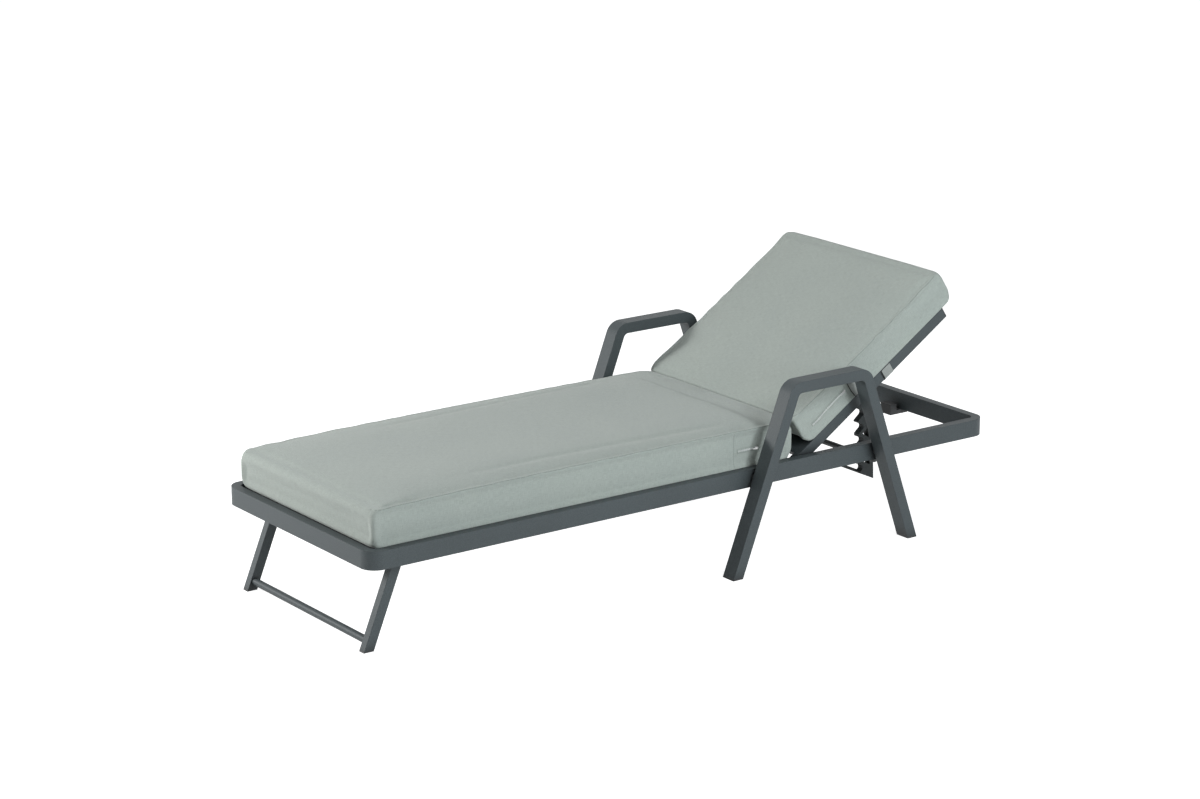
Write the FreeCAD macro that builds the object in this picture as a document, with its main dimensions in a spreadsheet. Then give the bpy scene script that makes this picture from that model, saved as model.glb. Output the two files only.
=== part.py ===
import FreeCAD, Part
import math
import os

import Sketcher

# Adjustable relaxation lounger: a tubular aluminium frame on two armrest frames and two
# foot legs, a hinged backrest that a toothed prop holds up, and two thick cushions.
# Millimetres, +Z up, the head end towards +X, the sitter's left towards -Y.
# The origin lies on the floor under the middle of the frame.

DOC = FreeCAD.newDocument("relaxation_lounger")
SHEET = DOC.addObject("Spreadsheet::Sheet", "Sizes")

SIZES = [
    ("length", 2000.0, "frame, outside of the foot bow to outside of the head bow"),
    ("width", 696.0, "frame, outside of one side rail to outside of the other"),
    ("rail_tall", 48.0, "height of the rail tube"),
    ("rail_wide", 25.0, "width of the rail tube"),
    ("rail_low", 225.0, "underside of the rails above the floor"),
    ("wall", 2.0, "wall of the frame tubes"),
    ("bow_radius", 42.0, "outer radius of the frame's corners"),
    ("bow_reach", 80.0, "length of a bow along the side rails"),
    ("arm_wide", 45.0, "width of the armrest tube"),
    ("arm_thick", 30.0, "thickness of the armrest tube"),
    ("arm_gap", 10.0, "gap between a rail and its armrest frame"),
    ("arm_top", 502.0, "top of the armrest"),
    ("arm_front", 929.0, "foot of the front leg's outer edge, from the head end"),
    ("front_lean", 20.96, "lean of the front armrest leg, degrees"),
    ("arm_rear", 295.3, "foot of the rear leg's outer edge, from the head end"),
    ("rear_lean", 19.65, "lean of the rear armrest leg, degrees"),
    ("arm_radius", 45.0, "outer bend radius of an armrest frame"),
    ("cap_thick", 4.0, "glide under a leg"),
    ("plug_long", 22.0, "height of a glide's plug above the floor"),
    ("plug_gap", 0.2, "gap round a plug in its tube"),
    ("leg_foot", 11.8, "foot of a foot leg's outer edge, from the foot end"),
    ("leg_lean", 22.15, "lean of the foot legs, degrees"),
    ("leg_deep", 28.7, "foot leg along the lounger, measured level"),
    ("leg_wide", 22.2, "foot leg across the lounger"),
    ("leg_inset", 55.0, "foot leg's outer face inside the rail's outer face"),
    ("beam_deep", 40.0, "leg beam along the lounger"),
    ("beam_tall", 25.0, "height of the leg beam"),
    ("beam_low", 228.0, "underside of the leg beam"),
    ("beam_start", 98.0, "foot side of the leg beam"),
    ("stretcher_radius", 10.0, "radius of the foot stretcher"),
    ("stretcher_high", 23.0, "centre of the foot stretcher above the floor"),
    ("slat_wide", 70.0, "width of a slat"),
    ("slat_thick", 12.0, "thickness of a slat"),
    ("slat_wall", 1.5, "wall of a slat"),
    ("slat_high", 266.0, "top of the seat slats"),
    ("slat_first", 43.0, "foot side of the first seat slat"),
    ("slat_last", 42.0, "last seat slat before the hinge line"),
    ("hinge_along", 655.0, "hinge line from the head end"),
    ("hinge_high", 249.0, "hinge line above the floor"),
    ("recline", 33.3, "angle of the backrest at rest, degrees"),
    ("back_tall", 30.0, "depth of the backrest tube"),
    ("back_wide", 20.0, "width of the backrest tube"),
    ("back_gap", 5.0, "gap between a rail and a backrest tube"),
    ("back_long", 612.0, "hinge line to the upper end of a backrest tube"),
    ("back_top_deep", 25.0, "depth of the backrest's top tube along the backrest"),
    ("back_first", 22.0, "lower edge of the first backrest slat"),
    ("back_last", 1.0, "last backrest slat beyond the eye of a prop arm"),
    ("end_cap", 3.0, "end cap of a backrest tube"),
    ("pivot_along", 212.0, "prop's pivot bar before the upper end of the backrest"),
    ("pivot_drop", 6.0, "prop's pivot bar under the backrest's middle plane"),
    ("rod_radius", 8.0, "radius of the pivot bar and of the rest bar"),
    ("rod_wall", 1.5, "wall of the pivot bar and of the rest bar"),
    ("eye_radius", 14.0, "radius of the eye of a prop arm"),
    ("shank_share", 0.65, "width of a prop arm at its eye, share of the eye"),
    ("eye_play", 0.15, "play of the eye round the pivot bar"),
    ("prop_half", 148.0, "middle of the lounger to the outer face of a prop arm"),
    ("prop_thick", 20.0, "thickness of a prop arm"),
    ("slot_back", 36.5, "line of the slots behind the pivot bar"),
    ("slot_drop", 178.7, "first slot under the pivot bar"),
    ("slot_pitch", 39.3, "pitch of the slots"),
    ("slot_play", 0.4, "play of the rest bar in a slot"),
    ("slot_dip", 40.0, "dip of a slot towards its mouth, degrees"),
    ("slot_rise", 23.0, "rise of the clearance under a tooth, degrees"),
    ("slot_long", 46.0, "length of a slot's cut"),
    ("front_top", 140.0, "first tooth's shoulder under the pivot bar"),
    ("front_in", 20.0, "front edge behind the pivot bar at the shoulder"),
    ("front_low", 36.0, "front edge behind the pivot bar at the bottom"),
    ("front_drop", 351.5, "bottom front corner of the prop under the pivot bar"),
    ("back_in", 54.0, "back edge behind the pivot bar at the shoulder"),
    ("back_mid", 80.0, "back edge behind the pivot bar at its knee"),
    ("knee_drop", 262.0, "knee of the back edge under the pivot bar"),
    ("back_low", 85.0, "back edge behind the pivot bar at the bottom"),
    ("prop_drop", 374.0, "bottom back corner of the prop under the pivot bar"),
    ("flange", 13.0, "solid edge behind the lattice"),
    ("web", 6.0, "solid web between a slot and the lattice"),
    ("lattice_half", 14.0, "half the height of a lattice hole"),
    ("panel_tall", 9.0, "height of the prop's cross panel"),
    ("panel_set", 2.0, "cross panel inside the back edges of the prop arms"),
    ("rest_half", 205.0, "half the straight middle of the rest bar"),
    ("rest_end", 296.0, "middle to the start of a level end of the rest bar"),
    ("rest_high", 229.0, "centre of the ends of the rest bar"),
    ("collar_wide", 6.0, "width of a collar on the pivot bar"),
    ("collar_radius", 13.0, "radius of a collar on the pivot bar"),
    ("bolt_radius", 4.0, "armrest bolt"),
    ("bolt_head", 6.5, "radius of an armrest bolt's head"),
    ("bolt_head_thick", 8.0, "thickness of an armrest bolt's head"),
    ("bolt_long", 26.0, "armrest bolt beyond the rail's outer wall"),
    ("bolt_play", 0.2, "play of a bolt in a plain hole"),
    ("access_radius", 8.0, "access hole in the rail's inner wall"),
    ("spacer_radius", 11.0, "radius of a spacer"),
    ("nut_radius", 6.0, "radius of a threaded insert in an armrest frame"),
    ("nut_long", 14.0, "length of a threaded insert in an armrest frame"),
    ("fit", 0.05, "running fit, on the radius"),
    ("pin_radius", 5.0, "hinge bolt"),
    ("pin_head", 9.0, "radius of a hinge bolt's head"),
    ("pin_head_thick", 5.0, "thickness of a hinge bolt's head"),
    ("pin_nut_radius", 8.0, "radius of a hinge bolt's insert in the rail"),
    ("pin_nut_long", 15.0, "length of a hinge bolt's insert"),
    ("bush_radius", 8.0, "radius of a hinge bush in the backrest tube"),
    ("bush_flange", 11.5, "radius of a hinge bush's flange"),
    ("air", 0.3, "gap between pieces that move past each other"),
    ("catch_wide", 43.0, "width of the head catch"),
    ("catch_low", 12.0, "head catch under the head bow"),
    ("catch_reach", 38.0, "head catch inside the head bow"),
    ("catch_pad", 22.0, "depth of the head catch's pad"),
    ("catch_high", 242.9, "top of the head catch's pad"),
    ("screw_radius", 2.4, "catch screw"),
    ("screw_head", 4.5, "radius of a catch screw's head"),
    ("screw_head_thick", 2.5, "thickness of a catch screw's head"),
    ("screw_side", 12.0, "catch screw beside the middle"),
    ("cushion_air", 2.5, "gap between a cushion and the rail beside it"),
    ("cushion_seat", 0.3, "gap under a cushion"),
    ("cushion_corner", 9.0, "corner radius of a cushion seen from above"),
    ("seat_start", 28.0, "foot end of the seat cushion"),
    ("seat_stop", 17.0, "head end of the seat cushion before the hinge line"),
    ("back_start", 57.0, "lower end of the backrest cushion from the hinge line"),
    ("back_stop", 50.0, "backrest cushion beyond the upper end of the backrest"),
    ("seam_seat", 100.0, "upper seam above the seat cushion's underside"),
    ("seam_back", 90.5, "upper seam above the backrest cushion's underside"),
    ("crown_step", 5.0, "rise of the crown next to the seam"),
    ("crown", 12.5, "rise of the crown above the seam"),
    ("crown_edge", 30.0, "crown's first step from the side"),
    ("crown_flat", 83.0, "crown's level middle from the edge"),
    ("draw_side", 2.0, "sides drawn in half way up"),
    ("fold_round", 8.0, "rounding of the cushion ends that meet at the fold"),
    ("foot_top_round", 30.0, "rounding over the seat cushion's foot end"),
    ("foot_low_round", 20.0, "rounding under the seat cushion's foot end"),
    ("heel_round", 28.0, "rounding under the backrest cushion's lower end"),
    ("head_top_round", 45.0, "rounding over the backrest cushion's upper end"),
    ("head_low_round", 20.0, "rounding under the backrest cushion's upper end"),
    ("strap_wide", 37.0, "width of a strap"),
    ("strap_thick", 1.6, "thickness of a strap"),
    ("strap_gap", 0.4, "gap between a strap and the pivot bar"),
]

SEAT_SLATS = 8
BACK_SLATS = 4
SLOTS = 5
HOOKED_SLOT = 4
LATTICE_HOLES = 3
SEAM_SHARES = [0.0, 0.05, 0.2, 0.5, 0.7, 0.85, 0.95, 1.0]
DRAW_SHARES = [1.0, 0.4, 0.0, 1.0, 0.5, 0.15, 0.0, 0.0]
TINY = 0.001

SHEET_ROWS = {}
for row, (name, number, note) in enumerate(SIZES, start=1):
    SHEET.set("A%d" % row, name)
    SHEET.set("B%d" % row, repr(number))
    SHEET.setAlias("B%d" % row, name)
    SHEET.set("C%d" % row, note)
    SHEET_ROWS[name] = number
DOC.recompute()


class Size:
    """A length held as a number and as an expression of the sheet's cells."""

    def __init__(self, value, text):
        self.value = value
        self.text = text

    def __add__(self, other):
        other = as_size(other)
        return Size(self.value + other.value, "(%s + %s)" % (self.text, other.text))

    def __sub__(self, other):
        other = as_size(other)
        return Size(self.value - other.value, "(%s - %s)" % (self.text, other.text))

    def __mul__(self, other):
        other = as_size(other)
        return Size(self.value * other.value, "(%s * %s)" % (self.text, other.text))

    def __truediv__(self, other):
        other = as_size(other)
        return Size(self.value / other.value, "(%s / %s)" % (self.text, other.text))

    def __neg__(self):
        return Size(-self.value, "(0 - %s)" % self.text)


def as_size(number):
    """A plain factor as a Size; a Size stays as it is."""
    if isinstance(number, Size):
        return number
    return Size(float(number), "(%s)" % repr(float(number)))


def sin(angle):
    return Size(math.sin(math.radians(angle.value)), "sin(%s * 1 deg)" % angle.text)


def cos(angle):
    return Size(math.cos(math.radians(angle.value)), "cos(%s * 1 deg)" % angle.text)


def root(size):
    return Size(math.sqrt(size.value), "sqrt(%s)" % size.text)


S = {name: Size(number, "Sizes." + name) for name, number in SHEET_ROWS.items()}
ZERO = Size(0.0, "(0)")

# Places that several pieces share.

HALF = S["width"] / 2
RAIL_IN = HALF - S["rail_wide"]
RAIL_TOP = S["rail_low"] + S["rail_tall"]
ARM_IN = HALF + S["arm_gap"]
BACK_OUT = RAIL_IN - S["back_gap"]
BACK_IN = BACK_OUT - S["back_wide"]
LEG_OUT = HALF - S["leg_inset"]
LEG_IN = LEG_OUT - S["leg_wide"]
CUSHION_HALF = RAIL_IN - S["cushion_air"]
PROP_OUT = S["prop_half"]
PROP_IN = S["prop_half"] - S["prop_thick"]
HINGE_X = S["length"] - S["hinge_along"]
ARM_FRONT = S["length"] - S["arm_front"]
ARM_REAR = S["length"] - S["arm_rear"]
SLAT_ROOM = HINGE_X - S["slat_last"] - S["slat_wide"] - S["slat_first"]
SEAT_STOP = HINGE_X - S["seat_stop"]
PIVOT_ALONG = S["back_long"] - S["pivot_along"]
BACK_ROOM = PIVOT_ALONG + S["eye_radius"] + S["back_last"] - S["back_first"]
BACK_STOP = S["back_long"] + S["back_stop"]
STRAP_START = PIVOT_ALONG - S["rod_radius"] - S["strap_gap"] - S["strap_wide"]
LEAN_COS = cos(S["recline"])
LEAN_SIN = sin(S["recline"])
PIVOT_X = HINGE_X + PIVOT_ALONG * LEAN_COS + S["pivot_drop"] * LEAN_SIN
PIVOT_Z = S["hinge_high"] + PIVOT_ALONG * LEAN_SIN - S["pivot_drop"] * LEAN_COS
REST_X = PIVOT_X + S["slot_back"]
REST_Z = PIVOT_Z - S["slot_drop"] - S["slot_pitch"] * (HOOKED_SLOT - 1)


# Small helpers that draw, pad and cut with every size bound to the sheet.

def bind(thing, path, size):
    """Tie one property to the sheet; a length with no cell in it keeps its number."""
    if "Sizes." in size.text:
        thing.setExpression(path, size.text)


def new_body(name, x=None, y=None, z=None, tilt=None):
    """A body at a bound place; bodies without x start at the foot end."""
    body = DOC.addObject("PartDesign::Body", name)
    body.Label = name
    x = -(S["length"] / 2) if x is None else x
    y = ZERO if y is None else y
    z = ZERO if z is None else z
    turn = FreeCAD.Rotation(FreeCAD.Vector(0, -1, 0), 0 if tilt is None else tilt.value)
    body.Placement = FreeCAD.Placement(FreeCAD.Vector(x.value, y.value, z.value), turn)
    bind(body, "Placement.Base.x", x)
    bind(body, "Placement.Base.y", y)
    bind(body, "Placement.Base.z", z)
    if tilt is not None:
        body.setExpression("Placement.Rotation.Angle", tilt.text + " * 1 deg")
    return body


def back_body(name):
    """A body in the backrest's own frame: X up along the backrest, Z out of it."""
    return new_body(name, HINGE_X - S["length"] / 2, None, S["hinge_high"],
                    S["recline"])


def prop_body(name):
    """A body whose origin is the prop's pivot."""
    return new_body(name, PIVOT_X - S["length"] / 2, None, PIVOT_Z)


def new_sketch(body, plane, shift):
    """An empty sketch on one of the body's origin planes, moved along its normal."""
    sketch = body.newObject("Sketcher::SketchObject", body.Name + "_sketch")
    for feature in body.Origin.OriginFeatures:
        if feature.Role == plane:
            sketch.AttachmentSupport = [(feature, "")]
    sketch.MapMode = "FlatFace"
    sketch.AttachmentOffset = FreeCAD.Placement(
        FreeCAD.Vector(0, 0, shift.value), FreeCAD.Rotation())
    bind(sketch, "AttachmentOffset.Base.z", shift)
    return sketch


def hold(sketch, kind, geometry, point, size):
    """One bound distance of a point from the sketch's origin."""
    index = sketch.addConstraint(
        Sketcher.Constraint(kind, -1, 1, geometry, point, size.value))
    bind(sketch, "Constraints[%d]" % index, size)


def draw_loop(sketch, corners):
    """A closed loop of straight edges with every corner bound."""
    first = sketch.GeometryCount
    count = len(corners)
    for i, (a, b) in enumerate(corners):
        c, d = corners[(i + 1) % count]
        sketch.addGeometry(Part.LineSegment(FreeCAD.Vector(a.value, b.value, 0),
                                            FreeCAD.Vector(c.value, d.value, 0)))
    for i, (a, b) in enumerate(corners):
        following = first + (i + 1) % count
        sketch.addConstraint(Sketcher.Constraint("Coincident", first + i, 2, following, 1))
        hold(sketch, "DistanceX", first + i, 1, a)
        hold(sketch, "DistanceY", first + i, 1, b)


def draw_circle(sketch, a, b, radius):
    """A circle with its centre and its radius bound."""
    index = sketch.addGeometry(Part.Circle(
        FreeCAD.Vector(a.value, b.value, 0), FreeCAD.Vector(0, 0, 1), radius.value))
    place = sketch.addConstraint(Sketcher.Constraint("Radius", index, radius.value))
    bind(sketch, "Constraints[%d]" % place, radius)
    hold(sketch, "DistanceX", index, 3, a)
    hold(sketch, "DistanceY", index, 3, b)


def draw_round_box(sketch, x0, x1, half, radius):
    """A rectangle with round corners, from x0 to x1 and half to each side."""
    centres = [(x1 - radius, half - radius), (x0 + radius, half - radius),
               (x0 + radius, radius - half), (x1 - radius, radius - half)]
    starts = [(x1, half - radius), (x0 + radius, half),
              (x0, radius - half), (x1 - radius, -half)]
    stops = [(x1 - radius, half), (x0, half - radius),
             (x0 + radius, -half), (x1, radius - half)]
    flat = FreeCAD.Vector(0, 0, 1)
    for quarter, (a, b) in enumerate(centres):
        circle = Part.Circle(FreeCAD.Vector(a.value, b.value, 0), flat, radius.value)
        begin = quarter * math.pi / 2
        sketch.addGeometry(Part.ArcOfCircle(circle, begin, begin + math.pi / 2))
    for quarter in range(4):
        c, d = stops[quarter]
        e, f = starts[(quarter + 1) % 4]
        sketch.addGeometry(Part.LineSegment(FreeCAD.Vector(c.value, d.value, 0),
                                            FreeCAD.Vector(e.value, f.value, 0)))
    for quarter in range(4):
        line = 4 + quarter
        following = (quarter + 1) % 4
        sketch.addConstraint(Sketcher.Constraint("Coincident", quarter, 2, line, 1))
        sketch.addConstraint(Sketcher.Constraint("Coincident", line, 2, following, 1))
        hold(sketch, "DistanceX", line, 1, stops[quarter][0])
        hold(sketch, "DistanceY", line, 1, stops[quarter][1])
        hold(sketch, "DistanceX", line, 2, starts[following][0])
        hold(sketch, "DistanceY", line, 2, starts[following][1])
        index = sketch.addConstraint(Sketcher.Constraint("Radius", quarter, radius.value))
        bind(sketch, "Constraints[%d]" % index, radius)


def extrude(body, sketch, kind, length):
    """Pad or pocket a sketch; a pocket that takes nothing away is turned round."""
    DOC.recompute()
    before = body.Shape.Volume if kind == "Pocket" else 0.0
    feature = body.newObject("PartDesign::" + kind, body.Name + "_" + kind.lower())
    feature.Profile = sketch
    feature.Length = length.value
    bind(feature, "Length", length)
    DOC.recompute()
    if kind == "Pocket" and feature.Shape.Volume > before - TINY:
        feature.Reversed = True
        DOC.recompute()
    return feature


def pad(body, plane, loops, shift, length, circles=()):
    """A pad of loops and circles that starts at shift along the plane's normal."""
    sketch = new_sketch(body, plane, shift)
    for corners in loops:
        draw_loop(sketch, corners)
    for a, b, radius in circles:
        draw_circle(sketch, a, b, radius)
    return extrude(body, sketch, "Pad", length)


def cut_back(body, plane, loops, shift, length, circles=()):
    """A pocket from shift back against the plane's normal."""
    sketch = new_sketch(body, plane, shift)
    for corners in loops:
        draw_loop(sketch, corners)
    for a, b, radius in circles:
        draw_circle(sketch, a, b, radius)
    return extrude(body, sketch, "Pocket", length)


def round_edges(body, axis, corners, radius):
    """Round the straight edges along an axis that pass the given corners."""
    DOC.recompute()
    other = [i for i in range(3) if i != axis]
    names = []
    for index, edge in enumerate(body.Tip.Shape.Edges, start=1):
        if edge.Curve.TypeId != "Part::GeomLine" or abs(edge.Curve.Direction[axis]) < 1 - TINY:
            continue
        middle = edge.CenterOfMass
        for a, b in corners:
            if math.hypot(middle[other[0]] - a.value, middle[other[1]] - b.value) < TINY:
                names.append("Edge%d" % index)
    base = body.Tip
    feature = body.newObject("PartDesign::Fillet", body.Name + "_fillet")
    feature.Base = (base, names)
    feature.Radius = radius.value
    bind(feature, "Radius", radius)
    DOC.recompute()
    return feature


def box_loop(a0, a1, b0, b1):
    return [(a0, b0), (a1, b0), (a1, b1), (a0, b1)]


def rod_along_y(body, x, z, radius, outer, length, bore=None):
    """A round bar, or a tube, along Y; outer is the face at the greater Y."""
    circles = [(x, z, radius)]
    if bore is not None:
        circles.append((x, z, bore))
    return pad(body, "XZ_Plane", [], -outer, length, circles)


def group(name, bodies):
    """One node of several separate solids."""
    node = DOC.addObject("Part::Compound", name)
    node.Label = name
    node.Links = bodies
    return node


NODES = []


def keep(node):
    NODES.append(node)
    return node


# Side rails, with the holes for the armrest bolts and the hinge bolts.

def leg_line(foot, lean, sign, inset, z):
    """A leaning leg's outer edge at a height, moved in by inset across the tube."""
    slope = sin(lean) / cos(lean)
    return foot + (slope * z + inset / cos(lean)) * sign


def bolt_places():
    """Where the middle of each armrest leg crosses the middle of the rail."""
    middle = S["arm_thick"] / 2
    front = leg_line(ARM_FRONT, S["front_lean"], 1, middle, S["hinge_high"])
    rear = leg_line(ARM_REAR, S["rear_lean"], -1, middle, S["hinge_high"])
    return [front, rear]


def side_rail(name, side):
    """A hollow rail; side is -1 on the left and 1 on the right."""
    body = new_body(name)
    low = S["rail_low"]
    outer = (HALF * side, RAIL_IN * side)
    inner = ((HALF - S["wall"]) * side, (RAIL_IN + S["wall"]) * side)
    pad(body, "YZ_Plane",
        [box_loop(outer[0], outer[1], low, RAIL_TOP),
         box_loop(inner[0], inner[1], low + S["wall"], RAIL_TOP - S["wall"])],
        S["bow_reach"], S["length"] - S["bow_reach"] * 2)
    inside = RAIL_IN * side
    outside = HALF * side
    z = S["hinge_high"]
    deep = S["wall"] * 1.5
    start_in = -inside if side > 0 else -(inside - deep)
    start_out = -(outside - deep) if side > 0 else -outside
    for x in bolt_places():
        through_wall(body, x, z, S["access_radius"], start_in, deep)
        through_wall(body, x, z, S["bolt_radius"] + S["bolt_play"], start_out, deep)
    through_wall(body, HINGE_X, z, S["pin_nut_radius"], start_in, deep)
    return keep(body)


def through_wall(body, x, z, radius, shift, deep):
    """A round hole through one wall that stands across Y."""
    sketch = new_sketch(body, "XZ_Plane", shift)
    draw_circle(sketch, x, z, radius)
    return extrude(body, sketch, "Pocket", deep)


# The bows at the foot and the head, bent from the same tube.

def bow_outline(inset, stretch, foot):
    """The U of a bow seen from above; stretch lengthens its open ends."""
    outer = HALF - inset
    inner = RAIL_IN + inset
    if foot:
        near, far, end = inset, S["rail_wide"] - inset, S["bow_reach"] + stretch
    else:
        near = S["length"] - inset
        far = S["length"] - S["rail_wide"] + inset
        end = S["length"] - S["bow_reach"] - stretch
    return [(end, -outer), (near, -outer), (near, outer), (end, outer),
            (end, inner), (far, inner), (far, -inner), (end, -inner)]


def bow(name, foot):
    body = new_body(name)
    wall = S["wall"]
    outline = bow_outline(ZERO, ZERO, foot)
    hollow = bow_outline(wall, wall, foot)
    pad(body, "XY_Plane", [outline], S["rail_low"], S["rail_tall"])
    cut_back(body, "XY_Plane", [hollow], RAIL_TOP - wall, S["rail_tall"] - wall * 2)
    inner_radius = S["bow_radius"] - S["rail_wide"]
    round_edges(body, 2, [outline[1], outline[2]], S["bow_radius"])
    round_edges(body, 2, [outline[5], outline[6]], inner_radius)
    round_edges(body, 2, [hollow[1], hollow[2]], S["bow_radius"] - wall)
    round_edges(body, 2, [hollow[5], hollow[6]], inner_radius + wall)
    return keep(body)


# Armrest frames: one tube bent into a front leg, the armrest and a rear leg.

def arm_outline(inset, foot):
    """The bent tube seen from the side; foot is the height of its cut ends."""
    outer = inset
    inner = S["arm_thick"] - inset
    top = S["arm_top"] - outer
    under = S["arm_top"] - inner
    front = (ARM_FRONT, S["front_lean"], 1)
    rear = (ARM_REAR, S["rear_lean"], -1)
    return [(leg_line(*front, outer, foot), foot), (leg_line(*front, outer, top), top),
            (leg_line(*rear, outer, top), top), (leg_line(*rear, outer, foot), foot),
            (leg_line(*rear, inner, foot), foot), (leg_line(*rear, inner, under), under),
            (leg_line(*front, inner, under), under), (leg_line(*front, inner, foot), foot)]


def armrest_frame(name, side):
    body = new_body(name)
    wall = S["wall"]
    outline = arm_outline(ZERO, S["cap_thick"])
    hollow = arm_outline(wall, ZERO)
    far = ARM_IN + S["arm_wide"] if side > 0 else -ARM_IN
    pad(body, "XZ_Plane", [outline], -far, S["arm_wide"])
    cut_back(body, "XZ_Plane", [hollow], -far + S["arm_wide"] - wall,
             S["arm_wide"] - wall * 2)
    inner_radius = S["arm_radius"] - S["arm_thick"]
    round_edges(body, 1, [outline[1], outline[2]], S["arm_radius"])
    round_edges(body, 1, [outline[5], outline[6]], inner_radius)
    round_edges(body, 1, [hollow[1], hollow[2]], S["arm_radius"] - wall)
    round_edges(body, 1, [hollow[5], hollow[6]], inner_radius + wall)
    deep = wall * 1.5
    inside = ARM_IN * side
    start = -(inside + deep) if side > 0 else -inside
    for x in bolt_places():
        through_wall(body, x, S["hinge_high"], S["nut_radius"], start, deep)
    return keep(body)


def arm_hardware():
    """Spacers, bolts and threaded inserts that join the armrest frames to the rails."""
    spacers = []
    bolts = []
    nuts = []
    z = S["hinge_high"]
    for side in (-1, 1):
        for x in bolt_places():
            tag = "%s_%d" % ("left" if side < 0 else "right", len(spacers))
            spacer = new_body("spacer_" + tag)
            far = ARM_IN if side > 0 else -HALF
            rod_along_y(spacer, x, z, S["spacer_radius"], far, S["arm_gap"],
                        S["bolt_radius"] + S["bolt_play"])
            spacers.append(spacer)
            bolt = new_body("bolt_" + tag)
            seat = HALF - S["wall"]
            tip = seat + S["bolt_long"]
            rod_along_y(bolt, x, z, S["bolt_radius"], tip if side > 0 else -seat,
                        S["bolt_long"])
            head = seat - S["bolt_head_thick"]
            rod_along_y(bolt, x, z, S["bolt_head"], seat if side > 0 else -head,
                        S["bolt_head_thick"])
            bolts.append(bolt)
            nut = new_body("insert_" + tag)
            end = ARM_IN + S["nut_long"]
            rod_along_y(nut, x, z, S["nut_radius"] - S["fit"], end if side > 0 else -ARM_IN,
                        S["nut_long"], S["bolt_radius"] + S["fit"])
            nuts.append(nut)
    keep(group("arm_spacers", spacers))
    keep(group("arm_bolts", bolts))
    keep(group("arm_inserts", nuts))


def leaning_loop(foot, lean, sign, near, far, low, high):
    """The outline of a leaning leg between two heights, near and far from its edge."""
    return [(leg_line(foot, lean, sign, near, low), low),
            (leg_line(foot, lean, sign, far, low), low),
            (leg_line(foot, lean, sign, far, high), high),
            (leg_line(foot, lean, sign, near, high), high)]


def leg_cap(name, foot, lean, sign, thick, outer_y, wide):
    """A glide under a leg with a plug inside the tube; outer_y is its greater Y."""
    body = new_body(name)
    margin = S["wall"] + S["plug_gap"]
    pad(body, "XZ_Plane",
        [leaning_loop(foot, lean, sign, ZERO, thick, ZERO, S["cap_thick"])], -outer_y, wide)
    pad(body, "XZ_Plane",
        [leaning_loop(foot, lean, sign, margin, thick - margin, S["cap_thick"],
                      S["plug_long"])],
        -outer_y + margin, wide - margin * 2)
    return body


def arm_caps():
    caps = []
    for side in (-1, 1):
        far = ARM_IN + S["arm_wide"] if side > 0 else -ARM_IN
        for foot, lean, sign in ((ARM_FRONT, S["front_lean"], 1),
                                 (ARM_REAR, S["rear_lean"], -1)):
            caps.append(leg_cap("arm_cap_%d" % len(caps), foot, lean, sign,
                                S["arm_thick"], far, S["arm_wide"]))
    keep(group("arm_foot_caps", caps))


# Foot legs, their beam and their stretcher.

def foot_leg(name, side):
    body = new_body(name)
    thick = S["leg_deep"] * cos(S["leg_lean"])
    far = LEG_OUT if side > 0 else -LEG_IN
    leg = (S["leg_foot"], S["leg_lean"], 1)
    pad(body, "XZ_Plane", [leaning_loop(*leg, ZERO, thick, S["cap_thick"], S["beam_low"])],
        -far, S["leg_wide"])
    cut_back(body, "XZ_Plane",
             [leaning_loop(*leg, S["wall"], thick - S["wall"], ZERO, S["rail_low"])],
             -far + S["leg_wide"] - S["wall"], S["leg_wide"] - S["wall"] * 2)
    return keep(body)


def foot_parts():
    for name, side in (("left_foot_leg", -1), ("right_foot_leg", 1)):
        foot_leg(name, side)
    caps = []
    for side in (-1, 1):
        far = LEG_OUT if side > 0 else -LEG_IN
        caps.append(leg_cap("leg_cap_%d" % len(caps), S["leg_foot"], S["leg_lean"], 1,
                            S["leg_deep"] * cos(S["leg_lean"]), far, S["leg_wide"]))
    keep(group("leg_foot_caps", caps))
    beam = new_body("leg_beam")
    x0 = S["beam_start"]
    x1 = x0 + S["beam_deep"]
    z0 = S["beam_low"]
    z1 = z0 + S["beam_tall"]
    wall = S["wall"]
    pad(beam, "XZ_Plane", [box_loop(x0, x1, z0, z1),
                           box_loop(x0 + wall, x1 - wall, z0 + wall, z1 - wall)],
        -RAIL_IN, RAIL_IN * 2)
    keep(beam)
    stretcher = new_body("foot_stretcher")
    slope = sin(S["leg_lean"]) / cos(S["leg_lean"])
    x = S["leg_foot"] + slope * S["stretcher_high"] + S["leg_deep"] / 2
    rod_along_y(stretcher, x, S["stretcher_high"], S["stretcher_radius"], LEG_IN, LEG_IN * 2,
                S["stretcher_radius"] - wall)
    keep(stretcher)


# Slats: flat hollow tubes across the seat and across the backrest.

def slat(body, x0, top, reach):
    """A flat tube along Y from -reach to reach; x0 is its foot side."""
    x1 = x0 + S["slat_wide"]
    z0 = top - S["slat_thick"]
    thin = S["slat_wall"]
    pad(body, "XZ_Plane", [box_loop(x0, x1, z0, top),
                           box_loop(x0 + thin, x1 - thin, z0 + thin, top - thin)],
        -reach, reach * 2)
    return keep(body)


def slats():
    for number in range(SEAT_SLATS):
        slat(new_body("seat_slat_%d" % (number + 1)),
             S["slat_first"] + SLAT_ROOM / (SEAT_SLATS - 1) * number, S["slat_high"], RAIL_IN)
    for number in range(BACK_SLATS):
        slat(back_body("back_slat_%d" % (number + 1)),
             S["back_first"] + BACK_ROOM / (BACK_SLATS - 1) * number, S["back_tall"] / 2, BACK_IN)


# Backrest frame and hinge.

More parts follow.
